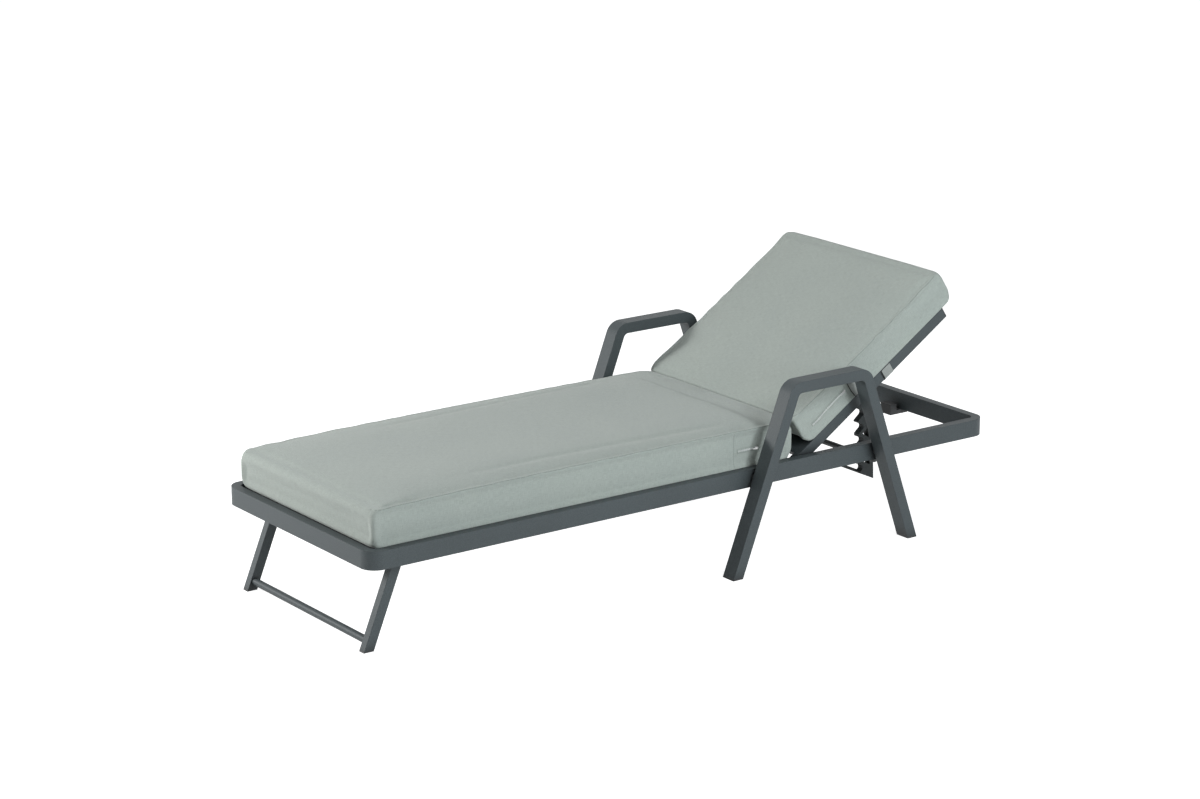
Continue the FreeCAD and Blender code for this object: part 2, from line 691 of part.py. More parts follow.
def back_tube(name, side):
    """A side tube of the backrest, with a round lower end and the bush's hole."""
    body = back_body(name)
    half = S["back_tall"] / 2
    wall = S["wall"]
    far = BACK_OUT if side > 0 else -BACK_IN
    start = -far
    loop = box_loop(-half, S["back_long"], -half, half)
    pad(body, "XZ_Plane", [loop], start, S["back_wide"])
    round_edges(body, 1, [loop[0], loop[3]], half - TINY)
    hollow = box_loop(S["bush_radius"] + wall * 2, S["back_long"] + wall, wall - half,
                      half - wall)
    cut_back(body, "XZ_Plane", [hollow], start + S["back_wide"] - wall,
             S["back_wide"] - wall * 2)
    through_wall(body, ZERO, ZERO, S["bush_radius"], start + S["back_wide"],
                 S["back_wide"] + wall)
    return keep(body)


def back_frame():
    for name, side in (("left_back_tube", -1), ("right_back_tube", 1)):
        back_tube(name, side)
    half = S["back_tall"] / 2
    wall = S["wall"]
    top = back_body("back_top_tube")
    x1 = S["back_long"]
    x0 = x1 - S["back_top_deep"]
    pad(top, "XZ_Plane", [box_loop(x0, x1, -half, half),
                          box_loop(x0 + wall, x1 - wall, wall - half, half - wall)],
        -BACK_IN, BACK_IN * 2)
    keep(top)
    caps = []
    for side in (-1, 1):
        cap = back_body("back_cap_%d" % len(caps))
        far = BACK_OUT if side > 0 else -BACK_IN
        margin = wall + S["plug_gap"]
        pad(cap, "XZ_Plane", [box_loop(x1, x1 + S["end_cap"], -half, half)], -far,
            S["back_wide"])
        pad(cap, "XZ_Plane", [box_loop(x1 - S["plug_long"], x1, margin - half, half - margin)],
            -far + margin, S["back_wide"] - margin * 2)
        caps.append(cap)
    keep(group("back_tube_caps", caps))


def hinge_parts():
    """Bushes in the backrest tubes, and bolts screwed into inserts in the rails."""
    bushes = []
    bolts = []
    nuts = []
    z = S["hinge_high"]
    x = HINGE_X
    for side in (-1, 1):
        bush = back_body("bush_%d" % len(bushes))
        bore = S["pin_radius"] + S["fit"]
        far = BACK_OUT if side > 0 else -BACK_IN
        rod_along_y(bush, ZERO, ZERO, S["bush_radius"] - S["fit"], far, S["back_wide"], bore)
        flange = S["back_gap"] - S["air"]
        face = BACK_OUT + flange if side > 0 else -BACK_OUT
        rod_along_y(bush, ZERO, ZERO, S["bush_flange"], face, flange, bore)
        bushes.append(bush)
        bolt = new_body("hinge_bolt_%d" % len(bolts))
        head_in = BACK_IN - S["air"] - S["pin_head_thick"]
        shank = RAIL_IN + S["pin_nut_long"] - head_in
        tip = head_in + shank
        rod_along_y(bolt, x, z, S["pin_radius"], tip if side > 0 else -head_in, shank)
        head_out = head_in + S["pin_head_thick"]
        rod_along_y(bolt, x, z, S["pin_head"], head_out if side > 0 else -head_in,
                    S["pin_head_thick"])
        bolts.append(bolt)
        nut = new_body("hinge_insert_%d" % len(nuts))
        end = RAIL_IN + S["pin_nut_long"]
        rod_along_y(nut, x, z, S["pin_nut_radius"] - S["fit"], end if side > 0 else -RAIL_IN,
                    S["pin_nut_long"], bore)
        nuts.append(nut)
    keep(group("hinge_bushes", bushes))
    keep(group("hinge_bolts", bolts))
    keep(group("hinge_inserts", nuts))


# The prop: two toothed arms hang from the pivot bar and hook over the rest bar.

def edge_at(drop, points):
    """Where an edge through the given (back, drop) points lies at a drop."""
    for (a, b), (c, d) in zip(points, points[1:]):
        if drop.value <= d.value or (c, d) == points[-1]:
            return a + (c - a) * (drop - b) / (d - b)


def height_at(along, points):
    """The drop of a straight edge between two (back, drop) points at a place along it."""
    (a, b), (c, d) = points
    return b + (d - b) * (along - a) / (c - a)


BACK_EDGE = [(S["back_in"], S["front_top"]), (S["back_mid"], S["knee_drop"]),
             (S["back_low"], S["prop_drop"])]


def mouth_loop(a, b, half, angle):
    """A channel from a slot's round end out through the front edge; angle is its rise."""
    run_x = cos(angle)
    run_z = sin(angle)
    reach = S["slot_long"]
    return [(a + run_z * half, b + run_x * half), (a - run_z * half, b - run_x * half),
            (a - run_z * half - run_x * reach, b - run_x * half + run_z * reach),
            (a + run_z * half - run_x * reach, b + run_x * half + run_z * reach)]


def prop_arm(name, side):
    body = prop_body(name)
    far = PROP_OUT if side > 0 else -PROP_IN
    thick = S["prop_thick"]
    half_eye = S["eye_radius"] * S["shank_share"]
    outline = [(-half_eye, ZERO), (S["front_in"], -S["front_top"]),
               (S["front_low"], -S["front_drop"]), (S["back_low"], -S["prop_drop"]),
               (S["back_mid"], -S["knee_drop"]), (S["back_in"], -S["front_top"]),
               (half_eye, ZERO)]
    pad(body, "XZ_Plane", [outline], -far, thick)
    rod_along_y(body, ZERO, ZERO, S["eye_radius"], far, thick)
    through_wall(body, ZERO, ZERO, S["rod_radius"] + S["eye_play"], -far + thick, thick)
    half = S["rod_radius"] + S["slot_play"]
    for number in range(SLOTS):
        a = S["slot_back"]
        b = -(S["slot_drop"] + S["slot_pitch"] * number)
        for angle in (-S["slot_dip"], S["slot_rise"]):
            cut_back(body, "XZ_Plane", [mouth_loop(a, b, half, angle)], -far + thick, thick)
        through_wall(body, a, b, half, -far + thick, thick)
    for number in range(LATTICE_HOLES):
        drop = S["slot_drop"] + S["slot_pitch"] * (number + 1.5)
        tip = S["slot_back"] + S["web"]
        upper = drop - S["lattice_half"]
        lower = drop + S["lattice_half"]
        hole = [(tip, -drop), (edge_at(upper, BACK_EDGE) - S["flange"], -upper),
                (edge_at(lower, BACK_EDGE) - S["flange"], -lower)]
        cut_back(body, "XZ_Plane", [hole], -far + thick, thick)
    return keep(body)


def prop_parts():
    for name, side in (("left_prop_arm", -1), ("right_prop_arm", 1)):
        prop_arm(name, side)
    panel = prop_body("prop_cross_panel")
    bottom = [(S["front_low"], S["front_drop"]), (S["back_low"], S["prop_drop"])]
    x0 = S["front_low"]
    x1 = S["back_low"] - S["panel_set"]
    low0 = -S["front_drop"]
    low1 = -height_at(x1, bottom)
    pad(panel, "XZ_Plane",
        [[(x0, low0), (x1, low1), (x1, low1 + S["panel_tall"]), (x0, low0 + S["panel_tall"])]],
        -PROP_IN, PROP_IN * 2)
    keep(panel)
    bar = back_body("prop_pivot_bar")
    rod_along_y(bar, PIVOT_ALONG, -S["pivot_drop"], S["rod_radius"], BACK_IN,
                BACK_IN * 2, S["rod_radius"] - S["rod_wall"])
    keep(bar)
    collars = []
    for side in (-1, 1):
        collar = back_body("collar_%d" % len(collars))
        near = PROP_OUT + S["air"]
        face = near + S["collar_wide"] if side > 0 else -near
        rod_along_y(collar, PIVOT_ALONG, -S["pivot_drop"], S["collar_radius"], face,
                    S["collar_wide"], S["rod_radius"] + S["fit"])
        collars.append(collar)
    keep(group("prop_collars", collars))


def rest_bar():
    """The cranked bar: level ends on the rails and a low straight middle."""
    body = new_body("prop_rest_bar")
    spine = new_sketch(body, "YZ_Plane", REST_X)
    route = [(-RAIL_IN, S["rest_high"]), (-S["rest_end"], S["rest_high"]),
             (-S["rest_half"], REST_Z), (S["rest_half"], REST_Z),
             (S["rest_end"], S["rest_high"]), (RAIL_IN, S["rest_high"])]
    points = [FreeCAD.Vector(a.value, b.value, 0) for a, b in route]
    for start, stop in zip(points, points[1:]):
        spine.addGeometry(Part.LineSegment(start, stop))
    for i in range(len(points) - 2):
        spine.addConstraint(Sketcher.Constraint("Coincident", i, 2, i + 1, 1))
    for i, (a, b) in enumerate(route[:-1]):
        hold(spine, "DistanceX", i, 1, a)
        hold(spine, "DistanceY", i, 1, b)
    hold(spine, "DistanceX", len(route) - 2, 2, route[-1][0])
    hold(spine, "DistanceY", len(route) - 2, 2, route[-1][1])
    profile = new_sketch(body, "XZ_Plane", RAIL_IN)
    draw_circle(profile, REST_X, S["rest_high"], S["rod_radius"])
    draw_circle(profile, REST_X, S["rest_high"], S["rod_radius"] - S["rod_wall"])
    DOC.recompute()
    pipe = body.newObject("PartDesign::AdditivePipe", "prop_rest_bar_pipe")
    pipe.Profile = profile
    pipe.Spine = (spine, [])
    pipe.Transition = "Round corner"
    DOC.recompute()
    keep(body)


# The catch under the head bow, on which the lowered backrest lies.

def head_catch():
    body = new_body("head_catch")
    bow_in = S["length"] - S["rail_wide"]
    start = bow_in - S["catch_reach"]
    low = S["rail_low"] - S["catch_low"]
    pad_end = start + S["catch_pad"]
    outline = [(start, low), (S["length"], low), (S["length"], S["rail_low"]),
               (pad_end, S["rail_low"]), (pad_end, S["catch_high"]),
               (start, S["catch_high"])]
    half = S["catch_wide"] / 2
    pad(body, "XZ_Plane", [outline], -half, S["catch_wide"])
    x = S["length"] - S["rail_wide"] / 2
    sketch = new_sketch(body, "XY_Plane", S["rail_low"])
    for side in (-1, 1):
        draw_circle(sketch, x, S["screw_side"] * side, S["screw_radius"] + S["fit"])
    extrude(body, sketch, "Pocket", S["catch_low"])
    keep(body)
    screws = []
    for side in (-1, 1):
        screw = new_body("catch_screw_%d" % len(screws))
        y = S["screw_side"] * side
        pad(screw, "XY_Plane", [], low, S["catch_low"], [(x, y, S["screw_radius"])])
        pad(screw, "XY_Plane", [], low - S["screw_head_thick"], S["screw_head_thick"],
            [(x, y, S["screw_head"])])
        screws.append(screw)
    keep(group("catch_screws", screws))


# Cushions: flat drawn-in sides, rounded ends, and a crown above the upper seam.

def end_inset(height, top, low_round, top_round):
    """How far a cushion's rounded end lies back at a height above its underside."""
    for radius, deep in ((low_round, low_round - height),
                         (top_round, height - top + top_round)):
        if deep.value > 0:
            return radius - root(radius * radius - deep * deep)
    return ZERO


def cushion(body, x0, x1, floor, seam, low_rounds, top_rounds):
    """A ruled loft through round rectangles from the underside to the crown."""
    shoulder = seam + S["crown_step"]
    rings = [(seam * share, S["draw_side"] * draw)
             for share, draw in zip(SEAM_SHARES, DRAW_SHARES)]
    rings.append((shoulder, S["crown_edge"]))
    sketches = []
    for height, side in rings:
        start, stop = [end_inset(height, shoulder, low, top)
                       for low, top in zip(low_rounds, top_rounds)]
        sketch = new_sketch(body, "XY_Plane", floor + height)
        draw_round_box(sketch, x0 + start, x1 - stop, CUSHION_HALF - side,
                       S["cushion_corner"])
        sketches.append(sketch)
    flat = S["crown_flat"]
    sketch = new_sketch(body, "XY_Plane", floor + seam + S["crown"])
    draw_round_box(sketch, x0 + flat, x1 - flat, CUSHION_HALF - flat, S["cushion_corner"])
    sketches.append(sketch)
    DOC.recompute()
    loft = body.newObject("PartDesign::AdditiveLoft", body.Name + "_loft")
    loft.Profile = sketches[0]
    loft.Sections = sketches[1:]
    loft.Ruled = True
    DOC.recompute()
    return keep(body)


def strap(name, side):
    """A webbing strap that passes under a backrest tube and holds the cushion."""
    body = back_body(name)
    half = S["back_tall"] / 2
    gap = S["air"]
    thick = S["strap_thick"]
    outer = (BACK_OUT + gap + thick) * side
    outer_in = (BACK_OUT + gap) * side
    inner = (BACK_IN - gap - thick) * side
    inner_in = (BACK_IN - gap) * side
    top = half
    loop = [(outer, top), (outer, -half - gap - thick), (inner, -half - gap - thick),
            (inner, top), (inner_in, top), (inner_in, -half - gap),
            (outer_in, -half - gap), (outer_in, top)]
    pad(body, "YZ_Plane", [loop], STRAP_START, S["strap_wide"])
    return keep(body)


side_rail("left_side_rail", -1)
side_rail("right_side_rail", 1)
bow("foot_bow", True)
bow("head_bow", False)
armrest_frame("left_armrest_frame", -1)
armrest_frame("right_armrest_frame", 1)
arm_hardware()
arm_caps()
foot_parts()
slats()
rest_bar()
head_catch()
back_frame()
hinge_parts()
prop_parts()
cushion(new_body("seat_cushion"), S["seat_start"], SEAT_STOP,
        S["slat_high"] + S["cushion_seat"], S["seam_seat"],
        (S["foot_low_round"], S["fold_round"]), (S["foot_top_round"], S["fold_round"]))
cushion(back_body("back_cushion"), S["back_start"], BACK_STOP,
        S["back_tall"] / 2 + S["cushion_seat"], S["seam_back"],
        (S["heel_round"], S["head_low_round"]), (S["fold_round"], S["head_top_round"]))
strap("left_cushion_strap", -1)
strap("right_cushion_strap", 1)

DOC.recompute()
for thing in DOC.Objects:
    if "Invalid" in thing.State or "Error" in thing.State:
        raise RuntimeError("%s is %s" % (thing.Name, thing.State))

os.makedirs("parts", exist_ok=True)
for node in NODES:
    shape = node.Shape
    if shape.isNull() or not shape.isValid() or not shape.Solids:
        raise RuntimeError(node.Label + " has no valid solid")
    shape.exportStep("parts/%s.step" % node.Label)
    box = shape.BoundBox
    print("%-22s %2d solid(s) %9.0f mm3  x %.1f %.1f  y %.1f %.1f  z %.1f %.1f" % (
        node.Label, len(shape.Solids), shape.Volume, box.XMin, box.XMax, box.YMin,
        box.YMax, box.ZMin, box.ZMax))
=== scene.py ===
"""Looks of the relaxation lounger: cushions, seams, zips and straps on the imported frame."""

import math

import bmesh
import bpy
import numpy
from mathutils import Matrix, Vector, noise
from mathutils.bvhtree import BVHTree
from mathutils.kdtree import KDTree


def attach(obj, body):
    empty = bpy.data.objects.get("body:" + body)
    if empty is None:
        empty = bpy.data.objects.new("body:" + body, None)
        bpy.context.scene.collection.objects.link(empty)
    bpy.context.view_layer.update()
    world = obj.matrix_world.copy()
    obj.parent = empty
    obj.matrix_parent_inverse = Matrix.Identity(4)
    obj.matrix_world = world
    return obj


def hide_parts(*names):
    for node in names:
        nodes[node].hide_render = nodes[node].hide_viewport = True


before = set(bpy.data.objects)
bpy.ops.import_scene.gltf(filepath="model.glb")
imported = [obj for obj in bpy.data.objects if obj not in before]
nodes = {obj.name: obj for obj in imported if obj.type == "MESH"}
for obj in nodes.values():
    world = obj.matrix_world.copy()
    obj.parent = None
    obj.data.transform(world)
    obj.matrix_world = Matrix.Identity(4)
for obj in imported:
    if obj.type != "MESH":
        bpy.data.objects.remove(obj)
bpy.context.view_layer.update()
scene = bpy.context.scene

# the backrest's own axes: X up the backrest from the hinge line, Z out of its front
LEAN = math.radians(33.3)
HINGE = Vector((0.345, 0.0, 0.249))
UP_BACK = Matrix.Translation(HINGE) @ Matrix.Rotation(-LEAN, 4, "Y")


# camera and light

# found from the straight edges in the photo: radians, metres and millimetres
YAW, PITCH = 0.941, -0.276
PLACE = (-4.7556, -6.4377, 2.6779)
LENS, SENSOR = 94.26, 36.0

camera = bpy.data.objects.new("camera", bpy.data.cameras.new("camera"))
scene.collection.objects.link(camera)
scene.camera = camera
view = Vector((math.cos(PITCH) * math.cos(YAW), math.cos(PITCH) * math.sin(YAW),
               math.sin(PITCH)))
camera.location = PLACE
camera.rotation_mode = "QUATERNION"
camera.rotation_quaternion = view.to_track_quat("-Z", "Y")
camera.data.sensor_width = SENSOR
camera.data.sensor_fit = "HORIZONTAL"
camera.data.lens = LENS
camera.data.clip_start = 0.05
camera.data.clip_end = 200.0

scene.view_settings.view_transform = "Standard"

WORLD_LIGHT = 0.18
FLOOR_WHITE = 0.9
WHITE, COOL = (1.0, 1.0, 1.0), (0.95, 1.0, 1.03)
LIGHTS = [
    # name, place, aimed at, size, watts, colour
    ("light_foot_far", (-3.5, 2.7, 1.7), (-0.3, 0.0, 0.35), (0.8, 0.8), 120.0, WHITE),
    ("light_near_low", (0.62, -5.0, 1.4), (0.25, 0.0, 0.38), (0.7, 0.9), 57.0, COOL),
    ("light_near_high", (0.3, -4.0, 3.0), (0.1, 0.0, 0.35), (1.8, 1.8), 76.0, COOL),
    ("light_above", (-2.2, 0.4, 3.4), (-0.4, 0.0, 0.35), (1.6, 1.6), 14.0, WHITE),
]


def area_light(name, place, aim, size, watts, color):
    """A soft rectangular lamp that looks at a point and stays out of the picture."""
    data = bpy.data.lights.new(name, "AREA")
    data.shape = "RECTANGLE"
    data.size, data.size_y = size
    data.energy = watts
    data.color = color
    lamp = bpy.data.objects.new(name, data)
    lamp.location = place
    lamp.rotation_euler = (Vector(aim) - Vector(place)).to_track_quat("-Z", "Y").to_euler()
    lamp.visible_camera = False
    scene.collection.objects.link(lamp)


for row in LIGHTS:
    area_light(*row)


# materials

class Tree:
    """A small helper that adds and joins shader nodes."""

    def __init__(self, name):
        self.material = bpy.data.materials.new(name)
        self.material.use_nodes = True
        self.tree = self.material.node_tree
        self.tree.nodes.clear()
        self.out = self.add("ShaderNodeOutputMaterial")

    def add(self, kind, **values):
        made = self.tree.nodes.new(kind)
        for key, value in values.items():
            setattr(made, key, value)
        return made

    def join(self, source, target):
        self.tree.links.new(source, target)

    def math(self, operation, a, b=None, c=None):
        made = self.add("ShaderNodeMath", operation=operation)
        for socket, value in zip(made.inputs, (a, b, c)):
            if value is None:
                continue
            if isinstance(value, (int, float)):
                socket.default_value = value
            else:
                self.join(value, socket)
        return made.outputs[0]

    def noise(self, vector, scale, detail=2.0, rough=0.5):
        made = self.add("ShaderNodeTexNoise")
        made.inputs["Scale"].default_value = scale
        made.inputs["Detail"].default_value = detail
        made.inputs["Roughness"].default_value = rough
        self.join(vector, made.inputs["Vector"])
        return made.outputs["Fac"]

    def ramp(self, factor, low, high, a, b):
        """low up to factor a, high from factor b on, and even in between."""
        made = self.add("ShaderNodeValToRGB")
        made.color_ramp.elements[0].position = a
        made.color_ramp.elements[1].position = b
        made.color_ramp.elements[0].color = (*low, 1.0)
        made.color_ramp.elements[1].color = (*high, 1.0)
        self.join(factor, made.inputs["Fac"])
        return made.outputs["Color"]

    def multiply(self, a, b):
        """Two colours multiplied; the mix node has its colours on sockets 6, 7 and 2."""
        made = self.add("ShaderNodeMix", data_type="RGBA", blend_type="MULTIPLY")
        made.inputs[0].default_value = 1.0
        self.join(a, made.inputs[6])
        self.join(b, made.inputs[7])
        return made.outputs[2]

    def rounded(self, radius):
        """Normals that round the sharp edges of a solid off by a small radius."""
        made = self.add("ShaderNodeBevel", samples=4)
        made.inputs["Radius"].default_value = radius
        return made.outputs["Normal"]

    def bump(self, height, strength, distance, normal=None):
        made = self.add("ShaderNodeBump")
        made.inputs["Strength"].default_value = strength
        made.inputs["Distance"].default_value = distance
        self.join(height, made.inputs["Height"])
        if normal is not None:
            self.join(normal, made.inputs["Normal"])
        return made.outputs["Normal"]

    def shader(self, color, rough, normal, metallic=0.0, **fixed):
        """The finished material; fixed holds numbers that are the same all over it."""
        made = self.add("ShaderNodeBsdfPrincipled")
        made.inputs["Metallic"].default_value = metallic
        self.join(color, made.inputs["Base Color"])
        if isinstance(rough, float):
            made.inputs["Roughness"].default_value = rough
        else:
            self.join(rough, made.inputs["Roughness"])
        self.join(normal, made.inputs["Normal"])
        for key, value in fixed.items():
            made.inputs[key.replace("_", " ")].default_value = value
        self.join(made.outputs["BSDF"], self.out.inputs["Surface"])
        return self.material


def grey(level):
    """A grey as a colour."""
    return level, level, level


def shade(color, factor):
    """A colour made darker or lighter."""
    return tuple(c * factor for c in color)


# how far off another surface still darkens the coats with painted shade
PAINTED_SHADE_REACH = 0.045
TUBE_EDGE, MOULDED_EDGE = 0.0022, 0.001


def powder_coat(name, color, rough=0.5):
    """Fine textured powder coat: grain, drifts, painted shade that darkens it where pieces
    meet and under the cushions, and rounded edges.
    """
    t = Tree(name)
    place = t.add("ShaderNodeTexCoord").outputs["Object"]
    grain = t.noise(place, 620.0, 3.0, 0.6)
    drift = t.noise(place, 5.0, 2.0)
    fine = t.ramp(grain, shade(color, 0.80), shade(color, 1.22), 0.34, 0.66)
    broad = t.ramp(drift, grey(0.93), grey(1.06), 0.3, 0.7)
    # painted shade: the colour falls to a third of itself where other surfaces lie within
    # reach, at joints and under the cushions
    near = t.add("ShaderNodeAmbientOcclusion", samples=8)
    near.inputs["Distance"].default_value = PAINTED_SHADE_REACH
    close = t.ramp(near.outputs["AO"], grey(0.34), grey(1.0), 0.45, 0.92)
    tone = t.multiply(t.multiply(fine, broad), close)
    normal = t.bump(grain, 0.35, 0.0005, t.rounded(TUBE_EDGE))
    wear = t.math("MULTIPLY_ADD", drift, 0.14, rough - 0.07)
    return t.shader(tone, wear, normal, 0.0, Specular_IOR_Level=0.3)


def moulded(name, color, rough=0.55):
    """Matt moulded plastic with a fine spark-eroded grain."""
    t = Tree(name)
    place = t.add("ShaderNodeTexCoord").outputs["Object"]
    grain = t.noise(place, 1500.0, 2.0)
    drift = t.noise(place, 18.0, 2.0)
    tone = t.ramp(drift, shade(color, 0.85), shade(color, 1.2), 0.3, 0.7)
    normal = t.bump(grain, 0.2, 0.0003, t.rounded(MOULDED_EDGE))
    return t.shader(tone, rough, normal)


def zinc(name):
    """Passivated steel: brushed, a little uneven and dulled."""
    t = Tree(name)
    place = t.add("ShaderNodeTexCoord").outputs["Object"]
    drift = t.noise(place, 60.0, 3.0)
    tone = t.ramp(drift, (0.42, 0.43, 0.43), (0.62, 0.63, 0.62), 0.3, 0.7)
    rough = t.math("MULTIPLY_ADD", drift, 0.25, 0.25)
    return t.shader(tone, rough, t.bump(drift, 0.1, 0.0004), 1.0)


def woven(name, color, pitch, depth=0.0003, contrast=0.12, sheen=0.3):
    """Plain weave drawn from the piece's own map in metres, with slubs and soft drifts."""
    t = Tree(name)
    uv = t.add("ShaderNodeUVMap").outputs["UV"]
    split = t.add("ShaderNodeSeparateXYZ")
    t.join(uv, split.inputs["Vector"])
    a = t.math("SINE", t.math("MULTIPLY", split.outputs["X"], math.pi / pitch))
    b = t.math("SINE", t.math("MULTIPLY", split.outputs["Y"], math.pi / pitch))
    over = t.math("GREATER_THAN", t.math("MULTIPLY", a, b), 0.0)
    warp = t.math("MULTIPLY", t.math("ABSOLUTE", a), over)
    weft = t.math("MULTIPLY", t.math("ABSOLUTE", b), t.math("SUBTRACT", 1.0, over))
    height = t.math("ADD", warp, weft)
    slubs = []
    for scale in ((60.0, 900.0, 1.0), (900.0, 60.0, 1.0)):
        stretch = t.add("ShaderNodeMapping")
        stretch.inputs["Scale"].default_value = scale
        t.join(uv, stretch.inputs["Vector"])
        slubs.append(t.math("MULTIPLY", t.noise(stretch.outputs["Vector"], 1.0, 2.0), 0.5))
    yarn = t.math("ADD", *slubs)
    place = t.add("ShaderNodeTexCoord").outputs["Object"]
    drift = t.noise(place, 4.5, 3.0)
    yarns = t.ramp(height, shade(color, 1.0 - contrast), shade(color, 1.0 + contrast * 0.5),
                   0.0, 1.0)
    melange = t.ramp(yarn, grey(0.86), grey(1.12), 0.36, 0.64)
    broad = t.ramp(drift, (0.97, 0.975, 0.98), (1.02, 1.02, 1.015), 0.3, 0.7)
    tone = t.multiply(t.multiply(yarns, melange), broad)
    relief = t.math("ADD", height, t.math("MULTIPLY", yarn, 0.6))
    normal = t.bump(relief, 0.45, depth)
    return t.shader(tone, 0.85, normal, 0.0, Sheen_Weight=sheen, Sheen_Roughness=0.5,
                    Specular_IOR_Level=0.25)


FRAME_TONE = (0.070, 0.084, 0.089)
FABRIC_TONE = (0.452, 0.498, 0.460)
coat = powder_coat("powder_coat", FRAME_TONE)
cast = powder_coat("cast_coat", (0.022, 0.027, 0.028), 0.55)
rod = powder_coat("rod_coat", (0.030, 0.036, 0.038), 0.45)
black = moulded("black_plastic", (0.018, 0.019, 0.020))
bolts = zinc("zinc")
fabric = woven("cushion_fabric", FABRIC_TONE, 0.0011)
thread = woven("seam_thread", shade(FABRIC_TONE, 0.66), 0.0006)
webbing = woven("webbing", (0.40, 0.42, 0.40), 0.0022, 0.0006, 0.2)
# near-black strip: beside each side flap it is a painted shadow of the flap, on each strap it
# is a dark strip along the lower edge
dark_strip = woven("dark_strip", (0.016, 0.018, 0.018), 0.0012)
tape = woven("zip_tape", shade(FABRIC_TONE, 0.86), 0.0009)
coil = moulded("zip_coil", (0.86, 0.88, 0.86), 0.35)

CAST = ("left_prop_arm", "right_prop_arm", "prop_cross_panel")
ROD = ("prop_rest_bar", "prop_pivot_bar")
BLACK = ("arm_foot_caps", "leg_foot_caps", "back_tube_caps", "head_catch", "hinge_bushes",
         "prop_collars", "arm_spacers")
ZINC = ("arm_bolts", "arm_inserts", "catch_screws", "hinge_bolts", "hinge_inserts")
for name, thing in nodes.items():
    finish = coat
    for names, material in ((CAST, cast), (ROD, rod), (BLACK, black), (ZINC, bolts)):
        if name in names:
            finish = material
    thing.data.materials.clear()
    thing.data.materials.append(finish)


# mesh helpers

SIDES = ((-1, "left"), (1, "right"))


def new_object(name, mesh, material):
    """A mesh with its one material, put into the scene."""
    made = bpy.data.objects.new(name, mesh)
    scene.collection.objects.link(made)
    mesh.materials.append(material)
    return made


def smooth(mesh, angle):
    """Smooth shading, but for edges sharper than an angle in degrees."""
    for face in mesh.polygons:
        face.use_smooth = True
    mesh.set_sharp_from_angle(angle=math.radians(angle))


def box_map(mesh):
    """A map in metres, taken from the side that each face looks to in the piece's own axes."""
    layer = mesh.uv_layers.new(name="weave") if not mesh.uv_layers else mesh.uv_layers[0]
    for face in mesh.polygons:
        n = [abs(c) for c in face.normal]
        k = n.index(max(n))
        i, j = [(1, 2), (0, 2), (0, 1)][k]
        for loop in face.loop_indices:
            co = mesh.vertices[mesh.loops[loop].vertex_index].co
            layer.data[loop].uv = (co[i], co[j])


def arc(cx, cz, radius, begin, end, count):
    """Points on an arc, angles in degrees, the last one included."""
    points = []
    for k in range(count + 1):
        a = math.radians(begin + (end - begin) * k / count)
        points.append((cx + radius * math.cos(a), cz + radius * math.sin(a)))
    return points


def lookup(table, x):
    """Straight-line reading of a table of (x, value) pairs."""
    if x <= table[0][0]:
        return table[0][1]
    for (a, b), (c, d) in zip(table, table[1:]):
        if x <= c:
            return b + (d - b) * (x - a) / (c - a)
    return table[-1][1]


def ease(x):
    """0 below 0, 1 above 1, and a soft step between."""
    x = min(max(x, 0.0), 1.0)
    return x * x * (3.0 - 2.0 * x)


def shell(name, profile, half, crown):
    """A closed form: an outline in X and Z swept over Y, its top raised by crown(x, y, z)."""
    bm = bmesh.new()
    stations = [-1.0, -0.985, -0.94, -0.86, -0.74, -0.58, -0.4, -0.2, 0.0]
    stations += [-s for s in reversed(stations[:-1])]
    rings = []
    for s in stations:
        y = s * half
        rings.append([bm.verts.new((x, y, z + crown(x, y, z))) for x, z in profile])
    for a, b in zip(rings, rings[1:]):
        for i in range(len(a)):
            j = (i + 1) % len(a)
            bm.faces.new((a[i], a[j], b[j], b[i]))
    bm.faces.new(rings[0][::-1])
    bm.faces.new(rings[-1])
    bmesh.ops.recalc_face_normals(bm, faces=bm.faces)
    mesh = bpy.data.meshes.new(name)
    bm.to_mesh(mesh)
    bm.free()
    return mesh


def points_of(mesh):
    """The mesh's points as rows of an array."""
    flat = numpy.empty(len(mesh.vertices) * 3)
    mesh.vertices.foreach_get("co", flat)
    return flat.reshape(-1, 3)


def set_points(mesh, points):
    mesh.vertices.foreach_set("co", points.ravel())
    mesh.update()


SIM_FRAMES = 20


def puff(piece, voxel, pressure, cap, floor):
    """Cloth pushed out by inner pressure; no point moves further than cap, the base stays."""
    bpy.context.view_layer.objects.active = piece
    remesh = piece.modifiers.new("remesh", "REMESH")
    remesh.mode = "VOXEL"
    remesh.voxel_size = voxel
    bpy.ops.object.modifier_apply(modifier=remesh.name)
    start = points_of(piece.data)
    cloth = piece.modifiers.new("cloth", "CLOTH")
    settings = cloth.settings
    settings.use_pressure = True
    settings.uniform_pressure_force = pressure
    settings.quality = 4
    settings.mass = 0.3
    settings.tension_stiffness = 20.0
    settings.compression_stiffness = 20.0
    settings.shear_stiffness = 8.0
    settings.bending_stiffness = 2.0
    settings.effector_weights.gravity = 0.0
    cloth.collision_settings.use_collision = False
    cloth.point_cache.frame_start = 1
    cloth.point_cache.frame_end = SIM_FRAMES
    for number in range(1, SIM_FRAMES + 1):
        scene.frame_set(number)
    bpy.ops.object.modifier_apply(modifier=cloth.name)
    scene.frame_set(1)
    step = points_of(piece.data) - start
    length = numpy.linalg.norm(step, axis=1)
    limit = numpy.where(start[:, 2] < floor + 0.004, 0.0, cap)
    share = numpy.minimum(1.0, limit / numpy.maximum(length, 1e-9))
    set_points(piece.data, start + step * share[:, None])


RELAX_ROUNDS = 3


